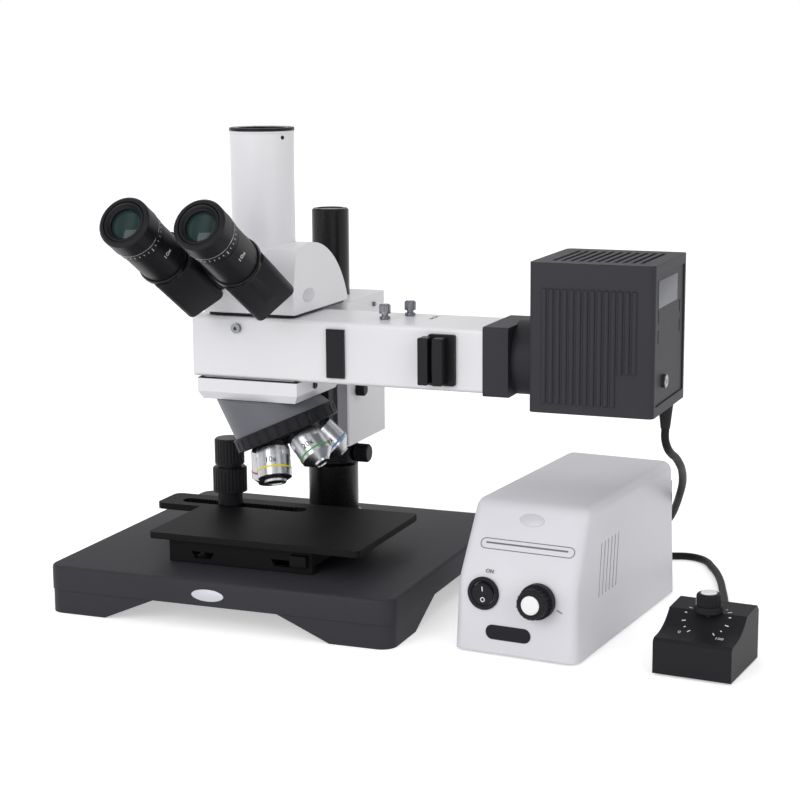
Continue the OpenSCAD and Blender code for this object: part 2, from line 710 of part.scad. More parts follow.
// Black sleeve plate of the filter slot, screwed to the front wall
module filter_sleeve() {
    color("#141415") difference() {
        translate([filter_x + 2, arm_y - 3.4, arm_mid_z]) rotate([-90, 0, 0]) round_block(20, 37, 3.4, 1.5);
        translate([filter_x - 4.2, arm_y - 5, arm_mid_z - 15]) cube([8.4, 6, 30]);
    }
}

// Filter slider with its two grip bars
module filter_slider() {
    color("#2A292C") translate([filter_x, 0, arm_mid_z]) {
        for (x = [-12.5, -1.5])
            translate([x + 4, arm_y - 14, 0]) rotate([-90, 0, 0]) round_block(7.5, 34, 10, 1);
        translate([-9, arm_y - 7, -10]) cube([13, 3, 20]);
        difference() {
            translate([-3.9, arm_y - 6, -14.6]) cube([7.8, 54, 29.2]);
            translate([-5, optic_y, 0]) rod_x(11, 10);
        }
    }
}

// Lenses of the illuminator in their cell, and the half-mirror over the nosepiece
module arm_optics() {
    color("#B7C7CF") {
        for (x = [48, 168]) translate([x, optic_y, arm_mid_z]) difference() {
            translate([-4, 0, 0]) rod_x(arm_h / 2 - arm_wall - gap, 8);
            translate([14, 0, 0]) sphere(r = 14.5);
        }
        translate([optic_x, optic_y, arm_mid_z]) rotate([0, 45, 0]) translate([-20, -17, -1]) cube([40, 34, 2]);
        for (y = [-18.4, 17.2])
            translate([optic_x - 16, optic_y + y, arm_z + arm_wall + gap - 0.3]) cube([32, 1.3, arm_h - 2 * arm_wall]);
    }
}

// Iris ring that turns about the light path, with the lever that reaches the slot
iris_x = 100;
module iris_ring() {
    color("#3B3C40") translate([131.5, optic_y, arm_mid_z]) {
        difference() {
            translate([-3, 0, 0]) rod_x(17, 6);
            translate([-4, 0, 0]) rod_x(9, 8);
        }
        rotate([-32.4, 0, 0]) translate([-1, -1, 15]) cube([2, 2, 13]);
    }
}

// Chrome thumbscrew with a knurled head and a cross bore
module thumbscrew() {
    translate([0, 0, -5]) cylinder(r = 2.5, h = 12);
    translate([0, 0, 4.5]) fluted_knob(4.3, 7, 16, 0.6);
    translate([0, 0, 0.4]) cylinder(r = 4, h = 2);
}
module centring_screw_front() {
    color("#CFD0D2") translate([iris_x, optic_y - 6, arm_top]) thumbscrew();
}
module centring_screw_rear() {
    color("#CFD0D2") translate([iris_x + 11, optic_y + 17, arm_top]) thumbscrew();
}

// Clamp screw of the head, in the arm's front wall
module head_lock_screw() {
    color("#BDBEC0") translate([-8, arm_y, arm_top - 8]) difference() {
        union() {
            translate([0, -0.4, 0]) rod_y(2.5, 7);
            translate([0, -3.2, 0]) rod_y(3.6, 2.9);
        }
        translate([0, -4, 0]) rotate([-90, 0, 0]) cylinder(r = 1.6, h = 3, $fn = 6);
    }
}

// Dark block and round neck that join the lamp house to the arm
module lamp_adapter() {
    color("#2C2C2E") difference() {
        union() {
            translate([arm_end, optic_y, arm_mid_z]) rotate([90, 0, 90])
                round_block(arm_w + 1, arm_h + 4, adapter_end - arm_end, 2);
            translate([adapter_end - 1, optic_y, arm_mid_z]) rod_x(neck_r, lamp_x - adapter_end + 1);
        }
        translate([arm_end - 1, optic_y, arm_mid_z]) rod_x(18, lamp_x);
    }
}

// Ribbed lamp house: shell with louvres in its top and ribs on its flanks
lamp_louvres = 11;
rib_count = 14;
rib_pitch = 4.9;
module lamp_house() {
    door_w = lamp_d - 14;
    door_h = lamp_h - 14;
    color("#232324") {
        difference() {
            translate([lamp_x + lamp_w / 2, lamp_y + lamp_d / 2, lamp_z]) rotate([0, 0, 0])
                round_block(lamp_w, lamp_d, lamp_h, 4);
            translate([lamp_x + lamp_w / 2, lamp_y + lamp_d / 2, lamp_z + lamp_wall])
                round_block(lamp_w - 2 * lamp_wall, lamp_d - 2 * lamp_wall, lamp_h - 2 * lamp_wall, 2);
            translate([lamp_x - 1, optic_y, arm_mid_z]) rod_x(18, lamp_wall + 2);
            for (i = [0 : lamp_louvres - 1])
                translate([lamp_x + 12 + i * 6.2, lamp_y + 14, lamp_z + lamp_h - lamp_wall - 1])
                    cube([3, lamp_d - 28, lamp_wall + 2]);
            translate([lamp_x + lamp_w - lamp_wall - 1, lamp_y + 7, lamp_z + 7])
                cube([lamp_wall + 2, door_w, door_h]);
            for (i = [0 : 4])
                translate([lamp_x + 16 + i * 14, lamp_y + 14, lamp_z - 1]) cube([6, lamp_d - 46, lamp_wall + 2]);
            translate([305, -15, lamp_z - 1]) cylinder(r = 4.5, h = lamp_wall + 2);
        }
        // Ribs on the front and rear flanks; the last three are short
        for (i = [0 : rib_count - 1], side = [0, 1])
            translate([lamp_x + 11 + i * rib_pitch, lamp_y + side * lamp_d, lamp_z + (i > 10 ? 30 : 7)])
                cylinder(r = 1.3, h = lamp_h - (i > 10 ? 48 : 25), $fn = 20);
    }
}

// Door of the lamp house, in its right side
module lamp_door() {
    color("#29292B") difference() {
        translate([lamp_x + lamp_w - lamp_wall, lamp_y + 7 + gap, lamp_z + 7 + gap])
            cube([lamp_wall - 1, lamp_d - 14 - 2 * gap, lamp_h - 14 - 2 * gap]);
        translate([lamp_x + lamp_w - lamp_wall - 1, lamp_y + 30, lamp_z + 22]) rod_x(3.2, lamp_wall + 2);
        for (y = [14, lamp_d - 18], z = [50, 64])
            translate([lamp_x + lamp_w - lamp_wall - 1, lamp_y + y, lamp_z + z]) cube([lamp_wall + 2, 2, 9]);
    }
}

// Lamp socket on its bracket, carried by the door
module lamp_socket() {
    color("#D8D4C8") {
        translate([lamp_x + 52, optic_y - 9, arm_mid_z - 20]) cube([12, 18, 14]);
        translate([lamp_x + 60, optic_y - 14, lamp_z + 12]) cube([lamp_w - lamp_wall - 60 - 0.01, 28, 3]);
        translate([lamp_x + 60, optic_y - 7, lamp_z + 12]) cube([4, 14, arm_mid_z - 20 - lamp_z - 11]);
    }
}

// Halogen capsule on its two pins
module lamp_bulb() {
    color("#EDEDE6") {
        translate([lamp_x + 58, optic_y, arm_mid_z - 6]) {
            cylinder(r = 4.6, h = 13);
            translate([0, 0, 13]) sphere(r = 4.6);
        }
    }
}

// Collector lens in front of the lamp, hollow on the lamp's side
module collector_lens() {
    color("#B7C7CF") difference() {
        translate([lamp_x + lamp_wall, optic_y, arm_mid_z]) rod_x(20, 12);
        translate([lamp_x + 60, optic_y, arm_mid_z]) sphere(r = 46.5);
    }
}

// Tapered strain relief under the lamp house
module lamp_gland() {
    color("#1A1A1B") translate([305, -15, lamp_z]) {
        translate([0, 0, -20]) rotate_extrude() polygon([[0, 0], [cord_r + 0.4, 0], [cord_r + 2.6, 19], [6.5, 19],
            [6.5, 20], [0, 20]]);
        translate([0, 0, -0.01]) cylinder(r = 4.4, h = lamp_wall + 3);
        translate([0, 0, lamp_wall + 0.1]) cylinder(r = 5.2, h = 3);
    }
}

// Thin black foot of the head
module head_base() {
    color("#1B1B1C") difference() {
        translate([0, (head_front + head_rear) / 2 - 0.5, head_z])
            round_block(2 * head_hw - 2, head_rear - head_front - 2, head_base_t, 6);
        translate([optic_x, optic_y, head_z - 1]) cylinder(r = 15, h = head_base_t + 2);
    }
    // Spigot that turns in the arm's top port
    color("#1B1B1C") translate([optic_x, optic_y, head_z - 6]) rotate_extrude()
        polygon([[11, 0], [15 - run, 0], [15 - run, 6.2], [15.5, 6.2], [15.5, 6 + head_base_t - 0.01],
            [11, 6 + head_base_t - 0.01]]);
}

// White domed head: side profile drawn on, rounded flanks, hub square to the hinge axis
head_floor = head_z + head_base_t;
module head_profile(inset) {
    dome_r = 84;
    intersection() {
        polygon([[head_front + inset, head_floor], [head_front - 3.5 + inset, head_floor + 15],
            [head_front + 5 + inset, head_top - inset], [head_rear, head_top - inset], [head_rear, head_floor]]);
        union() {
            translate([head_rear - inset - dome_r, head_floor - 12]) scale(1) circle(r = dome_r, $fn = 128);
            translate([head_front - 20, head_floor - 5]) square([40, 80]);
        }
        translate([head_front - 20, head_floor]) square([200, 80]);
    }
}
module head_body() {
    round = 6;
    color("#DEDEE1") difference() {
        union() {
            hull() {
                rotate([90, 0, 90]) translate([0, 0, -head_hw + round]) linear_extrude(2 * (head_hw - round))
                    head_profile(0);
                rotate([90, 0, 90]) translate([0, 0, -head_hw]) linear_extrude(2 * head_hw) head_profile(round);
            }
            in_hinge() translate([0, -4, 20]) cylinder(r = 29, h = housing_end - 20 - gap);
        }
        translate([optic_x, optic_y, head_floor - 10]) cylinder(r = 12, h = 90);
        in_hinge() cylinder(r = 6 + run, h = housing_end + 1);
        // The hub stops above the arm
        translate([-60, -160, head_floor - 60]) cube([120, 200, 60]);
        translate([optic_x, optic_y, tube_foot - 3]) cylinder(r = tube_r - 2 + run, h = 10);
        translate([optic_x, optic_y, tube_foot]) cylinder(r = tube_r + run, h = 90);
    }
}

// Camera tube with its black mouth ring and clamp screw
module phototube() {
    color("#DCDCE0") difference() {
        translate([optic_x, optic_y, 0]) rotate_extrude()
            polygon([[tube_r - 5, tube_foot - 2.9], [tube_r - 2, tube_foot - 2.9], [tube_r - 2, tube_foot],
                [tube_r, tube_foot + 0.05], [tube_r, tube_top - 4], [tube_r + 0.3, tube_top - 3.6],
                [tube_r + 0.3, tube_top - 0.6], [tube_r - 0.4, tube_top], [port_r, tube_top],
                [port_r, tube_top - 30], [tube_r - 5, tube_top - 32]]);
        translate([optic_x, optic_y, tube_top - 7]) rotate([0, 0, -25]) rod_x(1.5, tube_r + 2);
    }
}

// Beam-splitting prism over the head's light path
module head_prism() {
    color("#AFC3CC") translate([optic_x, optic_y, hinge_z]) rotate([0, 0, 0]) intersection() {
        translate([0, 0, -9]) cylinder(r = 12, h = 18);
        translate([-8.4, -8.4, -8.4]) cube([16.8, 16.8, 16.8]);
    }
}

// Frame of the eyepieces' hinge: origin on the optical axis, Z along the hinge towards the user
module in_hinge() {
    translate([optic_x, optic_y, hinge_z]) rotate([90 - ocular_tilt, 0, 0]) children();
}

// Steel spindle that both prism housings swing on
module hinge_spindle() {
    color("#A9AAAE") in_hinge() {
        translate([0, 0, 12.5]) cylinder(r = 6, h = housing_end + housing_l + 2 - 12.5);
        translate([0, 0, housing_end + housing_l + 1]) cylinder(r = 9, h = 3);
    }
}

// One prism housing: round body about the eyepiece, and the lug that swings on the spindle
module prism_housing(side, lug_at) {
    color("#29292B") in_hinge() difference() {
        union() {
            translate([side * half_ipd, -swing_drop, housing_end]) {
                rotate_extrude() polygon([[0, 1.5], [1.5, 0], [housing_r - 2, 0], [housing_r, 2], [housing_r, housing_l - 1],
                    [housing_r - 1, housing_l], [0, housing_l]]);
            }
            hull() {
                translate([0, 0, lug_at]) cylinder(r = 12.5, h = lug_l, $fn = 32);
                translate([side * half_ipd * 0.62, -swing_drop * 0.62, lug_at]) cylinder(r = 14, h = lug_l, $fn = 32);
            }
        }
        translate([0, 0, housing_end - 1]) cylinder(r = 6 + run, h = housing_l + 2);
        translate([side * half_ipd, -swing_drop, housing_end + 8]) cylinder(r = 15 + run, h = housing_l);
    }
}
module left_housing() {
    prism_housing(-1, housing_end + gap);
}
module right_housing() {
    prism_housing(1, housing_end + lug_l + 2 * gap);
}

// Eyepiece: stub in the housing, barrel, and the rubber eyecup round the eye lens
module eyepiece(side) {
    z0 = housing_end + 14;
    ring_z = eyecup_end - 26;
    color("#202022") in_hinge() translate([side * half_ipd, -swing_drop, 0]) difference() {
        rotate_extrude() polygon([[0, z0], [15, z0], [15, housing_end + housing_l + 0.2],
            [barrel_r, housing_end + housing_l + 0.2], [barrel_r, ring_z - 1], [15.2, ring_z], [15.2, ring_z + 8],
            [eyecup_r - 1, ring_z + 8 + gap], [eyecup_r, ring_z + 11], [eyecup_r, eyecup_end - 1.5],
            [eyecup_r - 1.5, eyecup_end], [eyecup_r - 3.5, eyecup_end], [eyecup_r - 5, eyecup_end - 7], [0, eyecup_end - 8.5]]);
        translate([0, 0, z0 - 1]) cylinder(r = 11, h = ring_z - z0);
    }
}
module left_eyepiece() {
    eyepiece(-1);
}
module right_eyepiece() {
    eyepiece(1);
}

// Dioptre ring that turns on the eyepiece
module diopter_ring(side) {
    ring_z = eyecup_end - 26;
    color("#2B2B2D") in_hinge() translate([side * half_ipd, -swing_drop, ring_z + gap]) rotate_extrude()
        polygon([[15.2 + run, 0], [barrel_r, 0], [barrel_r + 0.6, 0.6], [barrel_r + 0.6, 7], [barrel_r, 7.7],
            [15.2 + run, 7.7]]);
}
module left_diopter() {
    diopter_ring(-1);
}
module right_diopter() {
    diopter_ring(1);
}

// Frame of the lamp supply: origin at its front left corner
module in_supply() {
    translate([supply_pos[0], supply_pos[1], 0]) rotate([0, 0, supply_turn]) children();
}
front_bend_z = 52;
front_set = 33;
module supply_outline(inset) {
    polygon([[3 + inset, 2], [5 + inset, front_bend_z], [front_set - 6 + inset, supply_h - 14 - inset],
        [front_set + 4 + inset, supply_h - 3 - inset], [front_set + 18, supply_h - inset],
        [supply_d - 8 - inset, supply_h - 2 - inset], [supply_d - inset, supply_h - 9 - inset],
        [supply_d - inset, 2]]);
}
// Cross-section of the cover: leaning walls and an arched top
module supply_section(inset) {
    corner = 16;
    intersection() {
        polygon([[inset, 2], [supply_lean * 0.9 + inset, supply_h - 14], [supply_lean + inset + 4, supply_h + 2],
            [supply_w - supply_lean - inset - 4, supply_h + 2], [supply_w - supply_lean * 0.9 - inset, supply_h - 14],
            [supply_w - inset, 2]]);
        union() {
            translate([0, 0]) square([supply_w, supply_h - corner]);
            for (x = [supply_lean + corner, supply_w - supply_lean - corner])
                translate([x, supply_h - corner - 1.5 - inset]) circle(r = corner);
            translate([supply_lean + corner, 0]) square([supply_w - 2 * supply_lean - 2 * corner, supply_h - 1.5 - inset]);
        }
    }
}
module supply_form(inset) {
    intersection() {
        rotate([90, 0, 90]) linear_extrude(supply_w) supply_outline(inset);
        translate([0, supply_d, 0]) rotate([90, 0, 0]) linear_extrude(supply_d) supply_section(inset);
    }
}
switch_at = [23, 44];
dial_at = [65, 44];
module on_front(place) {
    translate([place[0], 3 + (place[1] - 2) * 0.04, place[1]]) rotate([90 - atan(0.04), 0, 0]) children();
}
module supply_cover() {
    color("#DCDCE0") in_supply() difference() {
        supply_form(0);
        translate([0, 0, -0.01]) intersection() {
            supply_form(supply_wall);
            translate([0, supply_wall, 0]) cube([supply_w, supply_d, supply_h]);
        }
        translate([-1, supply_d - 4, -1]) cube([supply_w + 2, 10, supply_h - 12]);
        translate([supply_wall, 8, 1]) cube([supply_w - 2 * supply_wall, supply_d - 11, 3]);
        on_front(switch_at) translate([0, 0, -8]) cylinder(r = 10.6 + run, h = 20);
        on_front(dial_at) translate([0, 0, -8]) cylinder(r = 3.2, h = 20);
        // Five vent slots in each side wall
        for (i = [0 : 4])
            translate([-1, 48 + i * 6.6, 44 + i * 1.4]) cube([supply_w + 2, 2, 36]);
    }
}

// Tray and rear panel, with the transformer on the tray
module supply_chassis() {
    color("#3C3C3F") in_supply() {
        translate([supply_wall + gap, 9, 2.2]) cube([supply_w - 2 * supply_wall - 2 * gap, supply_d - 12.6, 1.5]);
        difference() {
            translate([supply_wall + 1, supply_d - 3.6, 2.2]) cube([supply_w - 2 * supply_wall - 2, 1.8, supply_h - 18]);
            translate([16, supply_d - 5, 36]) cube([28, 6, 20]);
            for (x = [gland_x1, gland_x2]) translate([x, supply_d - 5, gland_z]) rod_y(4.4 + run, 6);
            for (i = [0 : 6]) translate([54 + i * 4, supply_d - 5, 46]) cube([1.8, 6, 26]);
        }
    }
}

// Transformer on the tray: core and winding
module transformer() {
    color("#8A6A3C") in_supply() {
        translate([18, 112, 3.7]) cube([58, 38, 52]);
        translate([30, 103, 16]) round_winding();
    }
}
module round_winding() {
    translate([17, 28, 0]) round_block(34, 56, 28, 8);
}
gland_x1 = 13;
gland_x2 = 75;
gland_z = 11;

// Fittings of the cover and the panel: switch bezel and mains inlet
module supply_fittings() {
    color("#151516") in_supply() {
        on_front(switch_at) difference() {
            union() {
                cylinder(r = 11.8, h = 1.8);
                translate([0, 0, -7]) cylinder(r = 10.6, h = 8);
            }
            translate([-5.6, -8, -5]) cube([11.2, 16, 12]);
            translate([-7, 0, -0.8]) rod_x(1 + run, 14);
        }
        difference() {
            translate([16.2, supply_d - 14, 36.2]) cube([27.6, 13.6, 19.6]);
            translate([19, supply_d - 10, 39]) cube([22, 14, 14]);
        }
    }
}

// Rocker of the mains switch, on its two small pivots
module switch_rocker() {
    color("#101011") in_supply() on_front(switch_at) translate([0, 0, -0.8]) {
        rotate([7, 0, 0]) translate([-5.3, 0, 0]) rotate([90, 0, 90]) linear_extrude(10.6)
            polygon([[-6.8, -2], [6.8, -2], [6.8, 3.4], [0, 2.4], [-6.8, 3.4]]);
        translate([-6.8, 0, 0]) rod_x(1, 13.6);
    }
}

// Dial knob of the supply
module dial_knob(r, h) {
    difference() {
        union() {
            cylinder(r = r, h = h * 0.35);
            fluted_knob(r * 0.86, h, 20, 0.9);
        }
        translate([0, 0, h - 1]) cylinder(r = r * 0.6, h = 2);
    }
    translate([0, 0, h - 1.01]) cylinder(r = r * 0.6 - run, h = 0.8);
}
module supply_knob() {
    color("#19191B") in_supply() on_front(dial_at) {
        translate([0, 0, 0.6 + gap]) dial_knob(12.5, 15);
        translate([0, 0, -12]) cylinder(r = 3, h = 14);
    }
}

// Frame of the dimmer box: origin at its front left corner
module in_dimmer() {
    translate([dimmer_pos[0], dimmer_pos[1], 0]) rotate([0, 0, dimmer_turn]) children();
}
// Dimmer case: sloping box with a hollow top, open below
module dimmer_outline(inset) {
    scoop_r = 46;
    difference() {
        polygon([[inset, 1.5], [inset, 24 - inset], [2.5 + inset, 26 - inset], [8, 26.4 - inset],
            [26, dimmer_h - 2 - inset], [dimmer_d - 4 - inset, dimmer_h - inset], [dimmer_d - inset, dimmer_h - 4 - inset],
            [dimmer_d - inset, 1.5]]);
        translate([5, 26 - inset + scoop_r * 0.92]) circle(r = scoop_r * 0.92 - 0.3, $fn = 96);
    }
}
module dimmer_case() {
    color("#2A292C") in_dimmer() difference() {
        rotate([90, 0, 90]) linear_extrude(dimmer_w) dimmer_outline(0);
        translate([2.5, 0, -0.01]) rotate([90, 0, 90]) linear_extrude(dimmer_w - 5) dimmer_outline(2.5);
        translate([2.5, 2.5, 1]) cube([dimmer_w - 5, dimmer_d - 5, 3]);
        translate([dial_x, dial_y, 20]) cylinder(r = 3.2, h = 30);
        translate([dimmer_w / 2 + 2, dimmer_d - 4, 9]) rod_y(4.4 + run, 6);
    }
}
dial_x = 28;
dial_y = 34;

// Bottom plate of the dimmer, with the potentiometer on its bracket
module dimmer_base() {
    color("#1E1E20") in_dimmer() {
        translate([2.5 + gap, 2.5 + gap, 1.6]) cube([dimmer_w - 5 - 2 * gap, dimmer_d - 5 - 2 * gap, 1.8]);
        translate([dial_x - 8, dial_y + 9, 3.3]) cube([16, 2, 24]);
        translate([dial_x - 8, dial_y - 8, 20]) difference() {
            cube([16, 17.1, 9]);
            translate([8, 8, 3]) cylinder(r = 3 + run, h = 10);
        }
    }
}
module dimmer_knob() {
    color("#19191B") in_dimmer() translate([dial_x, dial_y, 0]) {
        translate([0, 0, dimmer_h - 1.2 + gap]) dial_knob(9.8, 13);
        translate([0, 0, 24]) cylinder(r = 3, h = 16);
    }
}

// Strain reliefs at the supply's rear panel and the dimmer's rear
module gland(l) {
    rotate([-90, 0, 0]) rotate_extrude() polygon([[0, -4], [4.4, -4], [4.4, 0.2], [6.4, 0.3], [6.4, 1.6], [5.6, 1.6],
        [cord_r + 0.4, l], [0, l]]);
}
module cord_glands() {
    color("#1A1A1B") {
        in_supply() {
            for (x = [gland_x1, gland_x2]) translate([x, supply_d - 1.6, gland_z]) gland(14);
        }
        in_dimmer() translate([dimmer_w / 2 + 2, dimmer_d, 9]) gland(18);
    }
}

// Cords, plain tubes along their routes
module dimmer_cord() {
    color("#1C1C1D") cord_tube(dimmer_route, cord_r);
}
module lamp_cord() {
    color("#1C1C1D") cord_tube(lamp_route, cord_r);
}
base();
rubber_feet();
pedestal();
post();
stop_collar();
collar_knob();
focus_block();
focus_guide();
tension_knob();
coarse_knob();
fine_knob();
stage_bed();
stage_carriage();
stage_plate();
stage_x_knob();
stage_y_knob();
slide_way();
body_holder();
nosepiece_mount();
turret_disc();
objectives();
arm_shell();
slot_slider();
filter_sleeve();
filter_slider();
arm_optics();
iris_ring();
centring_screw_front();
centring_screw_rear();
head_lock_screw();
lamp_adapter();
lamp_house();
lamp_door();
lamp_socket();
lamp_bulb();
collector_lens();
lamp_gland();
head_base();
head_body();
phototube();
head_prism();
hinge_spindle();
left_housing();
left_eyepiece();
left_diopter();
right_housing();
right_eyepiece();
right_diopter();
supply_cover();
supply_chassis();
transformer();
supply_fittings();
switch_rocker();
supply_knob();
dimmer_case();
dimmer_base();
dimmer_knob();
cord_glands();
dimmer_cord();
lamp_cord();
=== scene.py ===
import json
import math

import bpy
from mathutils import Matrix, Vector


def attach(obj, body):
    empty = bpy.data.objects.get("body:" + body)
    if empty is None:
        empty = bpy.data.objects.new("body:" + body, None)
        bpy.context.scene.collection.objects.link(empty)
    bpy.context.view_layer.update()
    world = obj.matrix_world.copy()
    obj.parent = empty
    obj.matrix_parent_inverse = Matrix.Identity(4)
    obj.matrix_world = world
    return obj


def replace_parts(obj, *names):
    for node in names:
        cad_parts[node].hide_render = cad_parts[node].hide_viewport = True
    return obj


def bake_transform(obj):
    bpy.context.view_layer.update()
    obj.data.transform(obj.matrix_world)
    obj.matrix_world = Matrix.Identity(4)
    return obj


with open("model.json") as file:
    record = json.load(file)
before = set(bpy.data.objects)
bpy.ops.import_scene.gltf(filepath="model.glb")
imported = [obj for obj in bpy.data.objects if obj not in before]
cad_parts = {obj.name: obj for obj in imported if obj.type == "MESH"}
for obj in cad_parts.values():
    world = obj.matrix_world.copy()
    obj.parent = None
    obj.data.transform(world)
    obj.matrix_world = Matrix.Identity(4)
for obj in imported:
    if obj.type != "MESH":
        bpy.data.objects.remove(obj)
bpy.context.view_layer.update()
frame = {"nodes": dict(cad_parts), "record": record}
bpy.ops.object.select_all(action="DESELECT")
scene = bpy.context.scene
scene.view_settings.view_transform = "Standard"

# Camera
# A long lens a little above the eyepieces, to the right of the stand's middle.
camera_data = bpy.data.cameras.new("camera")
camera_data.sensor_width = 36
FOCAL_PIXELS, PICTURE_PIXELS = 1918.12, 800
camera_data.lens = 36 * FOCAL_PIXELS / PICTURE_PIXELS
camera = bpy.data.objects.new("camera", camera_data)
scene.collection.objects.link(camera)
camera.location = (0.6217, -1.3370, 0.4231)
camera.rotation_euler = (Matrix.Rotation(math.radians(21.499), 4, "Z")
                         @ Matrix.Rotation(math.radians(79.406), 4, "X")
                         @ Matrix.Rotation(math.radians(-0.379), 4, "Z")).to_euler()
scene.camera = camera


# Lamp cord and dimmer cord
# PVC jackets, satin black with a faint grain from the extruder. The lamp cord leaves the
# lamp house's strain relief, hangs behind the supply and turns into its rear panel. The
# dimmer cord runs from the same panel along the bench to the dimmer's rear.
def linear(code):
    parts = [int(code[i:i + 2], 16) / 255 for i in (1, 3, 5)]
    return [c / 12.92 if c <= 0.04045 else ((c + 0.055) / 1.055) ** 2.4 for c in parts] + [1]


def add(tree, kind, values=(), links=(), **settings):
    made = tree.nodes.new("ShaderNode" + kind)
    for name, value in settings.items():
        setattr(made, name, value)
    for key, value in dict(values).items():
        made.inputs[key].default_value = value
    for key, source in dict(links).items():
        tree.links.new(source, made.inputs[key])
    return made


def blank_material(name):
    material = bpy.data.materials.new(name)
    material.use_nodes = True
    material.node_tree.nodes.clear()
    return material, material.node_tree


def close_material(tree, shader):
    add(tree, "OutputMaterial", links={"Surface": shader.outputs[0]})


# Extruded PVC: slightly uneven sheen along the jacket
cord_jacket, tree = blank_material("pvc_cord_jacket")
place = add(tree, "TexCoord")
grain = add(tree, "TexNoise", {"Scale": 900, "Detail": 3}, {"Vector": place.outputs["Object"]})
sheen_spread = add(tree, "MapRange", {"To Min": 0.44, "To Max": 0.58}, {"Value": grain.outputs["Fac"]})
bumps = add(tree, "Bump", {"Strength": 0.12, "Distance": 0.0002}, {"Height": grain.outputs["Fac"]})
close_material(tree, add(tree, "BsdfPrincipled", {"Base Color": linear("#121213"),
                                                 "Specular IOR Level": 0.2},
                         {"Roughness": sheen_spread.outputs["Result"], "Normal": bumps.outputs["Normal"]}))

LAMP_ROUTE = [(305, -15, 149.5), (305, -15, 142), (306, -12, 135), (307, -4, 129), (308, 6, 124),
              (308, 20, 116), (306, 36, 108), (303, 52, 99), (299, 68, 89), (294, 82, 78), (288, 97, 66),
              (281, 112, 54), (272, 126, 42), (261, 137, 30), (248, 143.5, 19), (235, 143, 11),
              (224, 137, 6.5), (216.5, 126, 6.5), (213.6, 113, 10.4), (212.66, 102.33, 11)]
DIMMER_ROUTE = [(274.38, 96.39, 11), (275.1, 104, 11), (274, 116, 8), (269, 128, 4.4), (261, 138.5, 3),
                (255.3, 149, 3), (254.8, 159.5, 3), (260, 169.5, 3), (270.5, 175.5, 3), (281.7, 177.5, 3),
                (291.5, 173.5, 3), (299, 165.5, 3), (304, 155.5, 3), (311.8, 138.8, 3), (319.8, 117, 3),
                (327.5, 90, 3), (333, 70, 3), (339, 46, 3), (345, 22, 3), (351, -2, 3), (356, -15, 4.2),
                (360, -25, 7.2), (361, -33, 9), (360.35, -40.38, 9)]
CORD_RADIUS = 0.003


def lay_cord(name, route):
    curve = bpy.data.curves.new(name, "CURVE")
    curve.dimensions = "3D"
    curve.bevel_depth = CORD_RADIUS
    curve.bevel_resolution = 4
    curve.use_fill_caps = True
    spline = curve.splines.new("BEZIER")
    spline.bezier_points.add(len(route) - 1)
    spline.resolution_u = 8
    for point, (x, y, z) in zip(spline.bezier_points, route):
        point.co = (x / 1000, y / 1000, z / 1000)
        point.handle_left_type = point.handle_right_type = "AUTO"
    cord = bpy.data.objects.new(name, curve)
    scene.collection.objects.link(cord)
    cord.data.materials.append(cord_jacket)
    bpy.context.view_layer.update()
    return cord


lamp_curve = lay_cord("lamp_cord_run", LAMP_ROUTE)
bpy.ops.object.select_all(action="DESELECT")
lamp_curve.select_set(True)
bpy.context.view_layer.objects.active = lamp_curve
bpy.ops.object.convert(target="MESH")
lamp_cord = bpy.context.object
bpy.ops.object.shade_smooth()
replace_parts(lamp_cord, "lamp_cord")
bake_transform(lamp_cord)
dimmer_cord = lay_cord("dimmer_cord_run", DIMMER_ROUTE)
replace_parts(dimmer_cord, "dimmer_cord")
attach(dimmer_cord, "stand")


# Enamels, plastics, black metals, rubber and ceramic
# Satin coats with the faintest orange peel or grain, and edges a touch rounded.
def coat(name, tint, dark, rough, peel, grit, metal=0.0, edge=0.0006, specular=0.5):
    """One sprayed, moulded or blasted finish: tint with a slow drift to dark, and a fine relief."""
    material, tree = blank_material(name)
    place = add(tree, "TexCoord")
    drift = add(tree, "TexNoise", {"Scale": 14, "Detail": 4}, {"Vector": place.outputs["Object"]})
    colour = add(tree, "MixRGB", {"Color1": linear(dark), "Color2": linear(tint)},
                 {"Fac": drift.outputs["Fac"]})
    relief = add(tree, "TexNoise", {"Scale": grit, "Detail": 2}, {"Vector": place.outputs["Object"]})
    spread = add(tree, "MapRange", {"To Min": rough - 0.05, "To Max": rough + 0.06},
                 {"Value": relief.outputs["Fac"]})
    rounded = add(tree, "Bevel", {"Radius": edge}, samples=4)
    bumps = add(tree, "Bump", {"Strength": peel, "Distance": 0.0002},
                {"Height": relief.outputs["Fac"], "Normal": rounded.outputs["Normal"]})
    close_material(tree, add(tree, "BsdfPrincipled", {"Metallic": metal, "Specular IOR Level": specular},
                             {"Base Color": colour.outputs["Color"], "Roughness": spread.outputs["Result"],
                              "Normal": bumps.outputs["Normal"]}))
    return material


enamel_white = coat("stoved_white_enamel", "#E4E4E7", "#DCDCE0", 0.34, 0.10, 700)
moulded_white = coat("moulded_grey_white_abs", "#D9D9DE", "#D1D1D7", 0.42, 0.22, 1500)
enamel_grey = coat("satin_grey_enamel", "#686970", "#606168", 0.42, 0.12, 700, specular=0.3)
powder_black = coat("fine_black_powder_coat", "#38383D", "#323237", 0.5, 0.5, 1300, specular=0.13)
moulded_black = coat("moulded_black_abs", "#242428", "#1F1F23", 0.46, 0.3, 1500, specular=0.12)
anodised_black = coat("black_anodised_aluminium", "#1E1E21", "#19191C", 0.38, 0.12, 2200, metal=0.2,
                      specular=0.2)
blackened_steel = coat("blackened_steel", "#161618", "#101012", 0.28, 0.08, 900, metal=0.4, specular=0.4)
stage_black = coat("matt_black_stage_finish", "#151517", "#111113", 0.55, 0.25, 1900, specular=0.12)
rubber_black = coat("matt_black_rubber", "#1C1C1E", "#171719", 0.66, 0.35, 1800, specular=0.3)
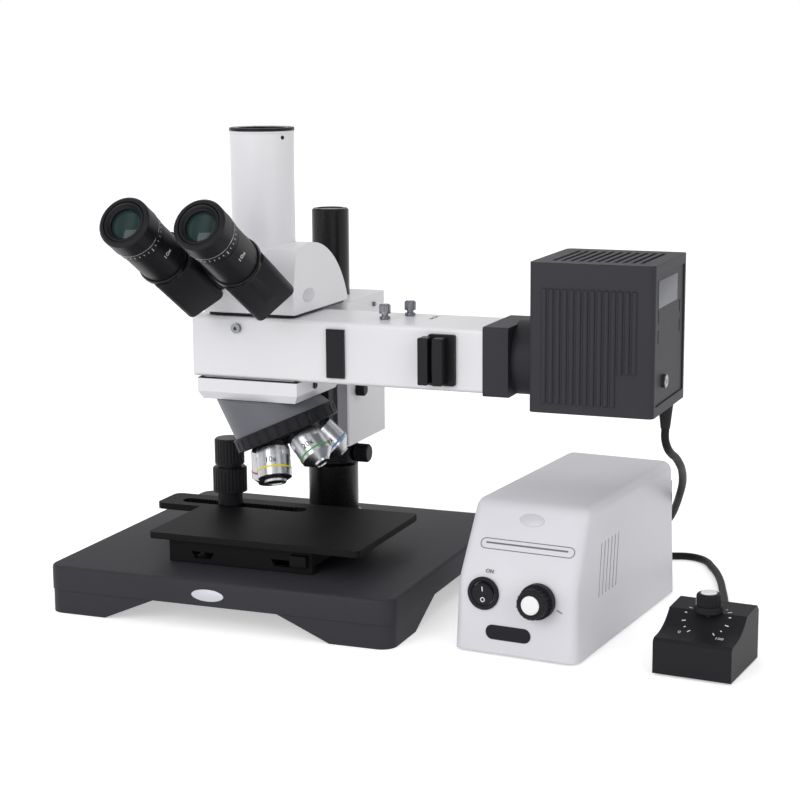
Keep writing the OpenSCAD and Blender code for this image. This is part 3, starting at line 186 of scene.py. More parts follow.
cream_ceramic = coat("cream_ceramic", "#D9D4C7", "#CEC8BA", 0.5, 0.1, 900)


# Bright metals of the screws, spindle and objectives
# Turned and plated: sharp reflections, broken by very fine turning marks.
def bright_metal(name, tint, rough, marks):
    material, tree = blank_material(name)
    place = add(tree, "TexCoord")
    turning = add(tree, "TexNoise", {"Scale": 2600, "Detail": 2}, {"Vector": place.outputs["Object"]})
    spread = add(tree, "MapRange", {"To Min": rough, "To Max": rough + 0.12},
                 {"Value": turning.outputs["Fac"]})
    bumps = add(tree, "Bump", {"Strength": marks, "Distance": 0.0001}, {"Height": turning.outputs["Fac"]})
    close_material(tree, add(tree, "BsdfPrincipled", {"Base Color": linear(tint), "Metallic": 1.0},
                             {"Roughness": spread.outputs["Result"], "Normal": bumps.outputs["Normal"]}))
    return material


chrome_plate = bright_metal("polished_chrome_plate", "#808186", 0.1, 0.06)
satin_chrome = bright_metal("satin_chrome_barrel", "#BDBEC2", 0.2, 0.1)
turned_steel = bright_metal("turned_steel", "#B4B5B9", 0.28, 0.14)


# Optical glass: coated, so it looks dark green from the user's side
# A thin transparent body whose coating gives a faint green sheen.
coated_glass, tree = blank_material("coated_optical_glass")
place = add(tree, "TexCoord")
smears = add(tree, "TexNoise", {"Scale": 60, "Detail": 2}, {"Vector": place.outputs["Object"]})
spread = add(tree, "MapRange", {"To Min": 0.03, "To Max": 0.08}, {"Value": smears.outputs["Fac"]})
close_material(tree, add(tree, "BsdfPrincipled", {"Base Color": linear("#2F4745"), "Transmission Weight": 0.5,
                                                  "IOR": 1.38, "Specular IOR Level": 0.25},
                         {"Roughness": spread.outputs["Result"]}))

FINISH = {"enamel_white": enamel_white, "enamel_black": powder_black, "enamel_grey": enamel_grey,
          "anodised_black": anodised_black, "steel": turned_steel, "chrome": satin_chrome,
          "steel_black": blackened_steel, "rubber": rubber_black, "plastic_black": moulded_black,
          "plastic_white": moulded_white, "glass": coated_glass, "ceramic": cream_ceramic,
          "cord_pvc": cord_jacket}


def paint(piece, finish):
    piece.data.materials.clear()
    piece.data.materials.append(finish)


for part in frame["record"]["subparts"]:
    paint(frame["nodes"][part["node"]], FINISH[part["material_slot"]])
for name in ("centring_screw_front", "centring_screw_rear", "head_lock_screw"):
    paint(frame["nodes"][name], chrome_plate)
for name in ("stage_plate", "stage_carriage", "stage_bed"):
    paint(frame["nodes"][name], stage_black)


# Eye lenses and their cells
# A black anodised cell is screwed into each eyepiece's mouth and holds a coated, domed
# eye lens. The cell and the lens are turned.
MM = Matrix.Scale(0.001, 4)
WHERE_DRAWN = Matrix.Identity(4)


def at(x=0.0, y=0.0, z=0.0):
    return Matrix.Translation((x, y, z))


def about(axis, degrees):
    return Matrix.Rotation(math.radians(degrees), 4, axis)


def start_piece():
    if bpy.context.object is not None and bpy.context.object.mode != "OBJECT":
        bpy.ops.object.mode_set(mode="OBJECT")
    bpy.ops.object.select_all(action="DESELECT")


def finish_piece(piece, name, place, finish, body, crease=35):
    """Put a piece in its place, smooth it, coat it and let it ride on its body."""
    start_piece()
    piece.name = piece.data.name = name
    piece.select_set(True)
    bpy.context.view_layer.objects.active = piece
    piece.matrix_world = MM @ place @ piece.matrix_world
    bpy.ops.object.transform_apply(location=True, rotation=True, scale=True)
    bpy.ops.object.shade_smooth_by_angle(angle=math.radians(crease))
    paint(piece, finish)
    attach(piece, body)
    return piece


def turn_profile(rings, hollow=False, sides=64):
    """Turn a profile of (radius, height) rings, in mm; hollow closes it on itself as a ring."""
    start_piece()
    bpy.context.tool_settings.mesh_select_mode = (True, False, False)
    radius, height = rings[0]
    bpy.ops.mesh.primitive_circle_add(vertices=sides, radius=radius, location=(0, 0, height),
                                      fill_type="NOTHING" if hollow else "NGON")
    piece = bpy.context.object
    bpy.ops.object.mode_set(mode="EDIT")
    bpy.ops.mesh.select_all(action="SELECT")
    for next_radius, next_height in rings[1:] + (rings[:1] if hollow else []):
        bpy.ops.mesh.extrude_region_move(TRANSFORM_OT_translate={"value": (0, 0, next_height - height)})
        factor = next_radius / radius
        bpy.ops.transform.resize(value=(factor, factor, 1), center_override=(0, 0, next_height))
        radius, height = next_radius, next_height
    bpy.ops.mesh.select_all(action="SELECT")
    bpy.ops.mesh.remove_doubles(threshold=0.0005)
    bpy.ops.mesh.normals_make_consistent(inside=False)
    bpy.ops.object.mode_set(mode="OBJECT")
    bpy.ops.object.transform_apply(location=True, rotation=False, scale=False)
    return piece


OPTIC_Y, HINGE_Z, TUBE_TILT = -35.5, 239.8, 60
EYE_X, EYE_Y = 28.5, -24.372
hinge_frame = at(0, OPTIC_Y, HINGE_Z) @ about("X", TUBE_TILT)
tube_frames = {"left": hinge_frame @ at(-EYE_X, EYE_Y, 0), "right": hinge_frame @ at(EYE_X, EYE_Y, 0)}
for side, frame_of_tube in tube_frames.items():
    cell = turn_profile([(12.6, 163.9), (14.9, 170.2), (14.2, 170.9), (13.3, 170.6), (12.2, 169.0),
                         (11.7, 168.2), (11.2, 167.9), (11.2, 163.9)], hollow=True)
    finish_piece(cell, side + "_eye_lens_cell", frame_of_tube, anodised_black, side + "_tube")
    lens = turn_profile([(11.3, 164.2), (11.3, 166.0), (10.2, 166.6), (8.2, 167.2), (5.8, 167.65),
                         (3.2, 167.9), (1.0, 167.98)])
    finish_piece(lens, side + "_eye_lens", frame_of_tube, coated_glass, side + "_tube")


# Bright bands and collars of the eyepieces
# A polished band closes the foot of each rubber eyecup, and a satin collar clamps the
# barrel in its prism housing.
for side, frame_of_tube in tube_frames.items():
    band = turn_profile([(17.9, 153.9), (18.7, 153.9), (18.9, 154.1), (18.9, 154.6), (18.7, 154.8),
                         (17.9, 154.8)], hollow=True)
    finish_piece(band, side + "_eyecup_band", frame_of_tube, chrome_plate, side + "_tube")
    collar = turn_profile([(17.5, 106.8), (19.1, 106.8), (19.2, 108.6), (18.6, 110.4), (17.5, 110.4)],
                          hollow=True)
    finish_piece(collar, side + "_barrel_collar", frame_of_tube, blackened_steel, side + "_tube")


# Scale of the dioptre rings and figures on the barrels
# White paint in shallow engraving: a row of strokes round each ring with a long stroke
# in the middle, and the magnification on the barrel.
engraved_white, tree = blank_material("white_engraving_paint")
place = add(tree, "TexCoord")
grain = add(tree, "TexNoise", {"Scale": 1800, "Detail": 2}, {"Vector": place.outputs["Object"]})
spread = add(tree, "MapRange", {"To Min": 0.5, "To Max": 0.65}, {"Value": grain.outputs["Fac"]})
close_material(tree, add(tree, "BsdfPrincipled", {"Base Color": linear("#DCDCDD")},
                         {"Roughness": spread.outputs["Result"]}))


def pick_edges(piece, wanted):
    """Enter edit mode with just the edges selected whose two ends pass the test."""
    bpy.context.tool_settings.mesh_select_mode = (False, True, False)
    mesh = piece.data
    for item in [*mesh.polygons, *mesh.edges, *mesh.vertices]:
        item.select = False
    for edge in mesh.edges:
        edge.select = wanted(*[mesh.vertices[i].co for i in edge.vertices])
    bpy.ops.object.mode_set(mode="EDIT")


def bevel_edges(piece, wanted, offset, segments):
    pick_edges(piece, wanted)
    bpy.ops.mesh.bevel(offset=offset, segments=segments, affect="EDGES")
    bpy.ops.object.mode_set(mode="OBJECT")


def shape_slab(width, depth, thick, corner, edge=0.15):
    """A flat plate in mm that lies on z = 0, with round corners and a broken top edge."""
    start_piece()
    bpy.ops.mesh.primitive_cube_add(size=1, location=(0, 0, thick / 2))
    piece = bpy.context.object
    piece.scale = (width, depth, thick)
    bpy.ops.object.transform_apply(location=True, rotation=False, scale=True)
    bevel_edges(piece, lambda a, b: abs(a.z - b.z) > thick / 2, corner, 7 if corner > 0.5 else 2)
    bevel_edges(piece, lambda a, b: min(a.z, b.z) > thick - 1e-4, edge, 2)
    return piece


def shape_letters(words, size, thick=0.1):
    """Upright figures in mm, centred, that lie on z = 0."""
    start_piece()
    bpy.ops.object.text_add()
    letters = bpy.context.object
    letters.data.body = words
    letters.data.size = size
    letters.data.align_x = letters.data.align_y = "CENTER"
    letters.data.extrude = thick
    bpy.ops.object.convert(target="MESH")
    return bpy.context.object


def join_pieces(pieces):
    start_piece()
    for piece in pieces:
        piece.select_set(True)
    bpy.context.view_layer.objects.active = pieces[0]
    bpy.ops.object.join()
    return bpy.context.object


def stamp(first, places):
    """Copies of one piece, each with its own mesh, put at the places and joined."""
    made = []
    for place in places:
        copy = first.copy()
        copy.data = first.data.copy()
        copy.data.transform(place @ first.matrix_world)
        copy.matrix_world = Matrix.Identity(4)
        scene.collection.objects.link(copy)
        made.append(copy)
    bpy.data.objects.remove(first, do_unlink=True)
    return join_pieces(made)


SCALE_TURN, SCALE_STEP, SCALE_RADIUS = -36, 11, 18.12
for side, frame_of_tube in tube_frames.items():
    short = stamp(shape_slab(1.9, 0.4, 0.16, 0.15, 0.04),
                  [about("Z", SCALE_TURN + SCALE_STEP * i) @ at(SCALE_RADIUS, 0, 150.2) @ about("Y", 90)
                   for i in range(-7, 8) if i])
    long = stamp(shape_slab(3.6, 0.5, 0.16, 0.15, 0.04),
                 [about("Z", SCALE_TURN) @ at(SCALE_RADIUS, 0, 149.4) @ about("Y", 90)])
    finish_piece(join_pieces([short, long]), side + "_dioptre_scale", frame_of_tube, engraved_white,
                 side + "_ring")
    figures = shape_letters("10x", 5.2)
    figures.data.transform(about("Z", -20) @ at(17.6, 0, 132) @ about("Y", 90) @ about("Z", 90))
    finish_piece(figures, side + "_barrel_figures", frame_of_tube, engraved_white, side + "_tube")


# Cover of the lamp supply
# One moulded grey-white shell: a front that bends back above the controls, leaning walls
# with rounded top edges, and six slanted vent slots in each flank.
supply_frame = at(178.5, -116.8, 0) @ about("Z", -5.5)


def apply_all(piece):
    start_piece()
    piece.select_set(True)
    bpy.context.view_layer.objects.active = piece
    for name in [modifier.name for modifier in piece.modifiers]:
        bpy.ops.object.modifier_apply(modifier=name)
    return piece


def shape_box(low, high):
    """A plain box between two corners, in mm."""
    start_piece()
    bpy.ops.mesh.primitive_cube_add(size=1, location=[(a + b) / 2 for a, b in zip(low, high)])
    piece = bpy.context.object
    piece.scale = [b - a for a, b in zip(low, high)]
    bpy.ops.object.transform_apply(location=True, rotation=False, scale=True)
    return piece


def carve(piece, cutter, operation="DIFFERENCE"):
    cut = piece.modifiers.new("carve", "BOOLEAN")
    cut.operation = operation
    cut.object = cutter
    apply_all(piece)
    bpy.data.objects.remove(cutter, do_unlink=True)
    return piece


def move_edges(piece, wanted, by):
    pick_edges(piece, wanted)
    bpy.ops.transform.translate(value=by)
    bpy.ops.object.mode_set(mode="OBJECT")


def slice_level(height):
    """Cut the walls of the piece in hand with a row of edges at one height."""
    bpy.ops.object.mode_set(mode="EDIT")
    bpy.ops.mesh.select_all(action="SELECT")
    bpy.ops.mesh.bisect(plane_co=(0, 0, height), plane_no=(0, 0, 1))
    bpy.ops.object.mode_set(mode="OBJECT")


def round_edges(piece, width, segments, degrees):
    """Let a bevel modifier round each edge that is sharper than the angle."""
    rounding = piece.modifiers.new("rounding", "BEVEL")
    rounding.width = width
    rounding.segments = segments
    rounding.limit_method = "ANGLE"
    rounding.angle_limit = math.radians(degrees)


SUPPLY = (94, 209, 105)
cover = shape_box((0, 3, 2), SUPPLY)
BEND_Z = 52
slice_level(BEND_Z)


def at_bend(a, b):
    return min(a.z, b.z) > BEND_Z - 1 and max(a.z, b.z) < BEND_Z + 1


def at_top(a, b):
    return min(a.z, b.z) > SUPPLY[2] - 1


move_edges(cover, lambda a, b: max(a.y, b.y) < 4 and at_bend(a, b), (0, 2, 0))
move_edges(cover, lambda a, b: max(a.y, b.y) < 4 and at_top(a, b), (0, 32, 0))
for side, lean in ((0, 1.7), (SUPPLY[0], -1.7)):
    move_edges(cover, lambda a, b: abs(a.x - side) + abs(b.x - side) < 1 and at_bend(a, b), (lean, 0, 0))
    move_edges(cover, lambda a, b: abs(a.x - side) + abs(b.x - side) < 1 and at_top(a, b), (2 * lean, 0, 0))
bevel_edges(cover, lambda a, b: max(a.y, b.y) < 8 and at_bend(a, b), 9, 5)
for face in cover.data.polygons:
    face.select = face.normal.z < -0.9
bpy.context.tool_settings.mesh_select_mode = (False, False, True)
bpy.ops.object.mode_set(mode="EDIT")
bpy.ops.mesh.delete(type="FACE")
bpy.ops.object.mode_set(mode="OBJECT")
round_edges(cover, 7.5, 6, 30)
walls = cover.modifiers.new("walls", "SOLIDIFY")
walls.thickness = 2.5
walls.offset = -1
apply_all(cover)
carve(cover, shape_box((-1, 205, -1), (95, 215, 92)))
for i in range(6):
    slit = shape_box((-1, -0.8, 0), (95, 0.8, 38))
    slit.data.transform(at(0, 46.3 + 6.7 * i, 39) @ about("X", -12.6))
    carve(cover, slit)
finish_piece(cover, "supply_shell", supply_frame, moulded_white, "stand")
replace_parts(cover, "supply_cover")


# Prism housings of the eyepieces
# Moulded black boxes with broken edges, square to the arm that swings each tube about
# the spindle, each with the lug that turns on it.
ARM_ANGLE = math.degrees(math.atan2(-EYE_Y, EYE_X))
HOUSING = (50.7, 106.7)
LUG = 26
for side, turn, lug in (("right", -ARM_ANGLE, 77.3), ("left", 180 + ARM_ANGLE, 51.0)):
    box = shape_box((21, -17.6, HOUSING[0]), (52.0, 17.6, HOUSING[1]))
    bevel_edges(box, lambda a, b: abs(a.z - b.z) > 50, 5, 5)
    knuckle = turn_profile([(12.4, lug), (12.4, lug + LUG)])
    web = shape_box((0, -12.4, lug), (24, 12.4, lug + LUG))
    carve(box, carve(knuckle, web, "UNION"), "UNION")
    carve(box, turn_profile([(6.1, 40), (6.1, 120)], sides=48))
    round_edges(box, 1.2, 3, 50)
    apply_all(box)
    finish_piece(box, side + "_prism_housing", hinge_frame @ about("Z", turn), moulded_black, side + "_tube")
    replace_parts(box, side + "_housing")


# Domed body of the head
# A white casting: flanks that run into one long dome from the camera tube to the rear,
# with broad round edges, and the hub that carries the eyepieces' spindle.
DOME_Y, DOME_Z, DOME_RADIUS = -34.5, 200.0, 76.2
head = shape_box((-37, -66, 214), (37, 37.5, 281))
slice_level(239.9)
move_edges(head, lambda a, b: max(a.y, b.y) < -65 and max(a.z, b.z) < 215, (0, 5, 0))
move_edges(head, lambda a, b: max(a.y, b.y) < -60 and min(a.z, b.z) > 280, (0, 10, 0))
start_piece()
bpy.ops.mesh.primitive_cylinder_add(vertices=160, radius=DOME_RADIUS, depth=74, location=(0, DOME_Y, DOME_Z),
                                    rotation=(0, math.pi / 2, 0))
drum = bpy.context.object
bpy.ops.object.transform_apply(location=True, rotation=True, scale=True)
carve(head, drum, "INTERSECT")
round_edges(head, 8, 6, 40)
apply_all(head)
hub = turn_profile([(19, 20), (19, 49.6), (18.2, 50.4)], sides=96)
hub.data.transform(hinge_frame @ at(0, -4, 0))
carve(head, hub, "UNION")
carve(head, shape_box((-80, -160, 150), (80, 80, 224.9)))
finish_piece(head, "head_casting", WHERE_DRAWN, enamel_white, "head", crease=30)
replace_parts(head, "head_body")


# Cast base plate
# Iron casting with small corner radii and a broken top edge on four feet, with the arched
# edges between them, bolt holes, and the pockets of its underside.
base = shape_box((-140, -133, 18), (140, 133, 36.5))
bevel_edges(base, lambda a, b: abs(a.z - b.z) > 10, 12, 8)
bevel_edges(base, lambda a, b: min(a.z, b.z) > 36, 2.2, 3)
feet = shape_box((-139.4, -132.4, 0.2), (139.4, 132.4, 18.5))
bevel_edges(feet, lambda a, b: abs(a.z - b.z) > 10, 11.4, 8)
for low, high, axis in (((-92, -150, 0), (92, 150, 18), 0), ((-150, -85, 0), (150, 85, 18), 1)):
    arch = shape_box(low, high)
    for side in (-1, 1):
        move_edges(arch, lambda a, b: min(a.z, b.z) > 17 and min(a[axis] * side, b[axis] * side) > 80,
                   [(-42 * side if i == axis else 0) for i in range(3)])
    carve(feet, arch)
carve(base, feet, "UNION")
carve(base, stamp(turn_profile([(2.5, -1), (2.5, 12)], sides=32),
                  [at(x, y) for x in (-116, 116) for y in (-109, 109)]))
carve(base, shape_box((24, -58, 10), (80, 38, 26)))
carve(base, shape_box((-80, -58, 10), (-24, 38, 26)))
finish_piece(base, "base_casting", WHERE_DRAWN, powder_black, "stand")
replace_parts(base, "base")


# Painted shade between the arm and its holder
# A thin black strip in the gap between the arm and its holder, standing in for the shade in that gap.
finish_piece(shape_box((-40.5, -69.5, 175.35), (40.5, 8, 176.0)), "arm_gap_painted_shade", WHERE_DRAWN, rubber_black,
             "scope")


# Ribs of the lamp house
# Half-round cast ribs on the front and rear flanks, fourteen on each; the last three are short.
RIB_STEP = 4.9
rib_rows = []
for i in range(14):
    low, high = (199.5, 256) if i > 10 else (176.5, 256)
    for flank in (-87.25, 6.25):
        start_piece()
        bpy.ops.mesh.primitive_cylinder_add(vertices=24, radius=1.8, depth=high - low,
                                            location=(236 + RIB_STEP * i, flank, (low + high) / 2))
        rib = bpy.context.object
        rib.scale = (1, 0.74, 1)
        bpy.ops.object.transform_apply(location=True, rotation=False, scale=True)
        rib_rows.append(rib)
finish_piece(join_pieces(rib_rows), "lamp_house_ribs", WHERE_DRAWN, powder_black, "scope")


# Mouth ring, dark lining, glass and clamp screw of the camera tube
# Black anodised aluminium: the ring and the lining are turned in one, the clamp screw is
# a small socket screw in the tube's wall, and a coated glass closes the tube further down.
camera_axis = at(0, OPTIC_Y, 0)
mouth = turn_profile([(18.9, 331), (18.9, 360.7), (19.5, 361.05), (23.7, 361.05), (24.2, 360.5),
                      (24.2, 358.7),
                      (23.6, 358.7), (23.6, 358.5), (19.2, 358.5), (19.2, 331)], hollow=True, sides=96)
finish_piece(mouth, "camera_tube_mouth", camera_axis, anodised_black, "head")
SCREW_TURN = -25
set_screw = turn_profile([(1.45, 21.5), (1.45, 23.9), (1.2, 24.15), (0.8, 24.15), (0.75, 23.2), (0.2, 23.1)],
                         sides=24)
finish_piece(set_screw, "camera_clamp_screw",
             camera_axis @ at(0, 0, 354) @ about("Z", SCREW_TURN) @ about("Y", 90),
             blackened_steel, "head")
tube_glass = turn_profile([(18.7, 330.2), (18.7, 331.6), (17, 332), (8, 332.6), (1, 332.8)])
finish_piece(tube_glass, "camera_tube_glass", camera_axis, coated_glass, "head")


# Plain plates
# Thin satin plates glued to the head, the supply, the base and the lamp house, and the
# dark pill under the supply's controls.
def shape_oval(width, depth, thick, edge=0.2):
    start_piece()
    bpy.ops.mesh.primitive_cylinder_add(vertices=72, radius=0.5, depth=1, location=(0, 0, thick / 2))
    piece = bpy.context.object
    piece.scale = (width, depth, thick)
    bpy.ops.object.transform_apply(location=True, rotation=False, scale=True)
    bevel_edges(piece, lambda a, b: min(a.z, b.z) > thick - 1e-4, edge, 2)
    return piece


plate_silver = bright_metal("satin_aluminium_plate", "#C4C5CB", 0.42, 0.05)
plate_pale = coat("pale_satin_plate", "#C9C9CF", "#C3C3C9", 0.3, 0.05, 900, edge=0.0002)
FRONT_LEAN = math.degrees(math.atan(0.04))


def on_front(x, z, out=0.0):
    """Frame on the supply's lower front, upright, with z out of the face."""
    return supply_frame @ at(x, 3 + (z - 2) * 0.04, z) @ about("X", 90 - FRONT_LEAN) @ at(0, 0, out)


SLOPE = math.degrees(math.atan2(39, 22))


def on_slope(x, along, out=0.0):
    """Frame on the supply's sloping front, with y up the slope."""
    return supply_frame @ at(x, 5, 52) @ about("X", SLOPE) @ at(0, along, out)


finish_piece(shape_oval(21, 10.5, 0.5), "head_plate",
             at(36.9, -37.4, 237.2) @ about("Z", 90) @ about("X", 90),
             plate_pale, "head")
finish_piece(shape_oval(18.5, 9.4, 0.5), "supply_plate", on_slope(49.3, 47.8, -0.1), plate_pale, "stand")
finish_piece(shape_oval(26, 9, 0.5), "base_plate_badge", at(-4.6, -132.95, 26.4) @ about("X", 90),
             plate_silver, "stand")
finish_piece(shape_slab(54, 19, 0.5, 1.5), "lamp_house_plate",
             at(312.4, -46.5, 253) @ about("Z", 90) @ about("X", 90), enamel_grey, "scope")
finish_piece(shape_slab(34, 10.4, 0.6, 5.1), "supply_pill", on_front(42.2, 17.2, -0.1),
             moulded_black, "stand")


# Printing and mouldings on the supply's front
# A moulded slot in a thin pill outline, the word over the switch, the two marks of the
# rocker, and the end strokes of the dial, in grey ink or white paint; the slot itself is a flat grey strip,
# painted shade of the recess.
ink_grey = coat("grey_pad_print", "#6F6F75", "#68686E", 0.5, 0.05, 1200, edge=0.0001, specular=0.35)


def shape_pill_outline(width, depth, line, thick):
    """A thin closed line in the form of a pill: a slab whose inner face is cut through."""
    piece = shape_slab(width, depth, thick, depth / 2 - 0.01, 0.05)
    pick_edges(piece, lambda a, b: False)
    bpy.ops.object.mode_set(mode="OBJECT")
    for face in piece.data.polygons:
        face.select = abs(face.normal.z) > 0.99 and face.area > width * depth / 3
    bpy.context.tool_settings.mesh_select_mode = (False, False, True)
    bpy.ops.object.mode_set(mode="EDIT")
    bpy.ops.mesh.inset(thickness=line)
    bpy.ops.mesh.bridge_edge_loops()
    bpy.ops.mesh.select_all(action="SELECT")
    bpy.ops.mesh.normals_make_consistent(inside=False)
    bpy.ops.object.mode_set(mode="OBJECT")
    return piece


finish_piece(shape_pill_outline(71, 8, 0.5, 0.25), "supply_slot_outline", on_slope(50, 28, -0.05), ink_grey,
             "stand")
# The slot is a flat grey strip: painted shade of the moulded recess.
finish_piece(shape_slab(62, 1.2, 0.25, 0.55, 0.05), "supply_slot", on_slope(49.5, 28.6, -0.05), ink_grey,
             "stand")
finish_piece(shape_letters("ON", 3.9, 0.15), "switch_word", supply_frame @ at(26, 8.5, 59.2) @ about("X", 70),
             ink_grey, "stand")
SWITCH = (23, 44)
bezel = turn_profile([(8.6, -4), (10.6, -4), (10.6, 0), (11.8, 0), (11.8, 1.1), (11.1, 1.8), (9.3, 1.8),
                      (8.6, 1.1)], hollow=True)
pan = turn_profile([(10.5, -5.5), (10.5, -3.9), (0.4, -3.9)])
bezel.data.transform(on_front(*SWITCH))
pan.data.transform(on_front(*SWITCH))
inlet = carve(shape_box((16.2, 195, 36.2), (43.8, 208.6, 55.8)), shape_box((19, 199, 39), (41, 213, 53)))
inlet.data.transform(supply_frame)
fittings = finish_piece(join_pieces([bezel, pan, inlet]), "switch_bezel_and_inlet", WHERE_DRAWN,
                        moulded_black, "stand")
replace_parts(fittings, "supply_fittings")
ROCKER_LEAN = 7.8
rocker_face = on_front(*SWITCH) @ at(0, 0, -0.8) @ about("X", 7)
rocker = turn_profile([(8.0, -2), (8.0, 3.2), (7.8, 3.5), (0.4, 3.5)])
for lean in (1, -1):
    wedge = shape_box((-10, min(0, 10 * lean), 0), (10, max(0, 10 * lean), 4))
    wedge.data.transform(at(0, 0, 2.4) @ about("X", ROCKER_LEAN * lean))
    carve(rocker, wedge)
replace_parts(finish_piece(rocker, "round_rocker", rocker_face, moulded_black, "power_rocker"),
            "switch_rocker")
stroke = shape_slab(0.8, 3.8, 0.12, 0.3, 0.03)
stroke.data.transform(at(0, 4.0, 0))
finish_piece(stroke, "rocker_stroke", rocker_face @ at(0, 0, 2.38) @ about("X", ROCKER_LEAN), engraved_white,
             "power_rocker")
circle_mark = turn_profile([(1.1, 0), (1.1, 0.12), (1.75, 0.12), (1.75, 0)], hollow=True, sides=32)
finish_piece(circle_mark, "rocker_circle",
             rocker_face @ at(0, 0, 2.38) @ about("X", -ROCKER_LEAN) @ at(0, -4, 0), engraved_white,
             "power_rocker")
DIAL = (65, 44)
ends = stamp(shape_slab(4.6, 0.8, 0.2, 0.3, 0.05),
             [about("Z", angle) @ at(16.5, 0, 0) for angle in (-158, -22)])
finish_piece(ends, "supply_dial_ends", on_front(*DIAL), ink_grey, "stand")


# White caps and pointers of the two dials
# Moulded white ABS discs pressed into the knobs, with a pointer stripe down one side.
cap_white = coat("moulded_white_abs_cap", "#EFEFF0", "#E9E9EA", 0.34, 0.05, 1500, edge=0.0003)
dimmer_frame = at(323.9, -118.5, 0) @ about("Z", -5)
DIMMER_DIAL = (28, 34)
dimmer_dial_frame = dimmer_frame @ at(DIMMER_DIAL[0], DIMMER_DIAL[1], 39.1)
for name, frame_of_dial, body, height, radius, knob_radius in (
        ("supply", on_front(*DIAL, 0.9), "brightness_knob", 15, 6.6, 10.6),
        ("dimmer", dimmer_dial_frame, "dimmer_dial", 13, 5.6, 8.3)):
    cap = turn_profile([(radius - 0.4, height - 0.4), (radius, height - 0.2), (radius, height + 0.5),
                        (radius - 0.7, height + 1.0), (radius * 0.6, height + 1.15), (0.5, height + 1.2)])
    finish_piece(cap, name + "_dial_cap", frame_of_dial, cap_white, body)
    pointer = shape_slab(1.1, height - 1.5, 0.5, 0.4, 0.12)
    finish_piece(pointer, name + "_dial_pointer",
                 frame_of_dial @ about("Z", 200) @ at(knob_radius - 0.25, 0, height / 2 + 0.2)
                 @ about("Y", 90) @ about("Z", 90), cap_white, body)


# Scale of the dimmer
# Long and short white strokes round the knob with 0 and 100 at its ends, printed on the
# scooped top.
SCOOP_START, SCOOP_RADIUS, SCOOP_CENTRE, LIP_Z, ABOVE_ALL = 5, 42.02, 26 + 46 * 0.92, 26.4, 99


def scoop_height(y):
    """Height of the dimmer's top: a low lip in front, the round scoop, then a gentle rise."""
    if y < SCOOP_START:
        return LIP_Z
    drop = math.sqrt(max(SCOOP_RADIUS ** 2 - (y - SCOOP_START) ** 2, 0))
    scooped = SCOOP_CENTRE - drop if y < 40 else ABOVE_ALL
    rising = 38 + (y - 26) * 2 / 33 if y > 26 else ABOVE_ALL
    return min(scooped, rising)


def on_scoop(x, y):
    """Frame on the dimmer's top, turned to lie on its slope."""
    rise = math.degrees(math.atan2(scoop_height(y + 0.3) - scoop_height(y - 0.3), 0.6))
    return at(x, y, scoop_height(y)) @ about("X", rise)


strokes = []
for i in range(15):
    angle = math.radians(236 - i * 292 / 14)
    x, y = DIMMER_DIAL[0] + 15.6 * math.cos(angle), DIMMER_DIAL[1] - 3 + 15.6 * math.sin(angle)
    mark = shape_slab(2.9 if i % 2 == 0 else 1.7, 0.8, 0.14, 0.3, 0.04)
    mark.data.transform(on_scoop(x, y) @ about("Z", math.degrees(angle)))
    strokes.append(mark)
zero = shape_letters("0", 4.2)
zero.data.transform(on_scoop(DIMMER_DIAL[0] - 14.5, 15.5))
hundred = shape_letters("100", 4.2)
hundred.data.transform(on_scoop(DIMMER_DIAL[0] + 14.0, 13.5))
finish_piece(join_pieces(strokes + [zero, hundred]), "dimmer_scale", dimmer_frame, engraved_white, "stand")


# Grip of the turret, and rings, knurls, figures and front lenses of the objectives
# A coarse moulded grip round the turret. Each objective has a lacquered ring, a knurled
# band under the flange, its power in black, and a small coated lens in the tapered nose.
SEATS, SEAT_RADIUS, SEAT_Z, TURRET_TILT = 5, 18.5, 124, 24
SEAT_STEP = 360 // SEATS
tilt = math.radians(TURRET_TILT)
turret_frame = (at(SEAT_RADIUS * math.cos(tilt), OPTIC_Y, SEAT_Z + SEAT_RADIUS * math.sin(tilt))
                @ about("Y", -TURRET_TILT))
grip = turn_profile([(36, -1.6), (40.1, -1.6), (40.8, -0.9), (40.8, 8.5), (40.1, 9.2), (38.9, 9.2), (38.9, 4),
                     (36, 4)], hollow=True, sides=120)
start_piece()
bpy.ops.mesh.primitive_cylinder_add(vertices=20, radius=2.2, depth=7.4, location=(42.2, 0, 3.8))
scallops = stamp(bpy.context.object, [about("Z", i * 12) for i in range(30)])
carve(grip, scallops)
finish_piece(grip, "turret_grip", turret_frame, moulded_black, "turret")
OBJECTIVES = [("red", "#B8343A", 6.0, "5x"), ("yellow", "#D9C81E", 6.5, "10x"),
              ("green", "#3F9B4E", 4.5, "20x"), ("blue", "#3F8FC4", 3.5, "50x")]
FACING = -70
engraved_black = coat("black_engraving_paint", "#202022", "#1A1A1C", 0.5, 0.05, 1200, edge=0.0001,
                      specular=0.35)
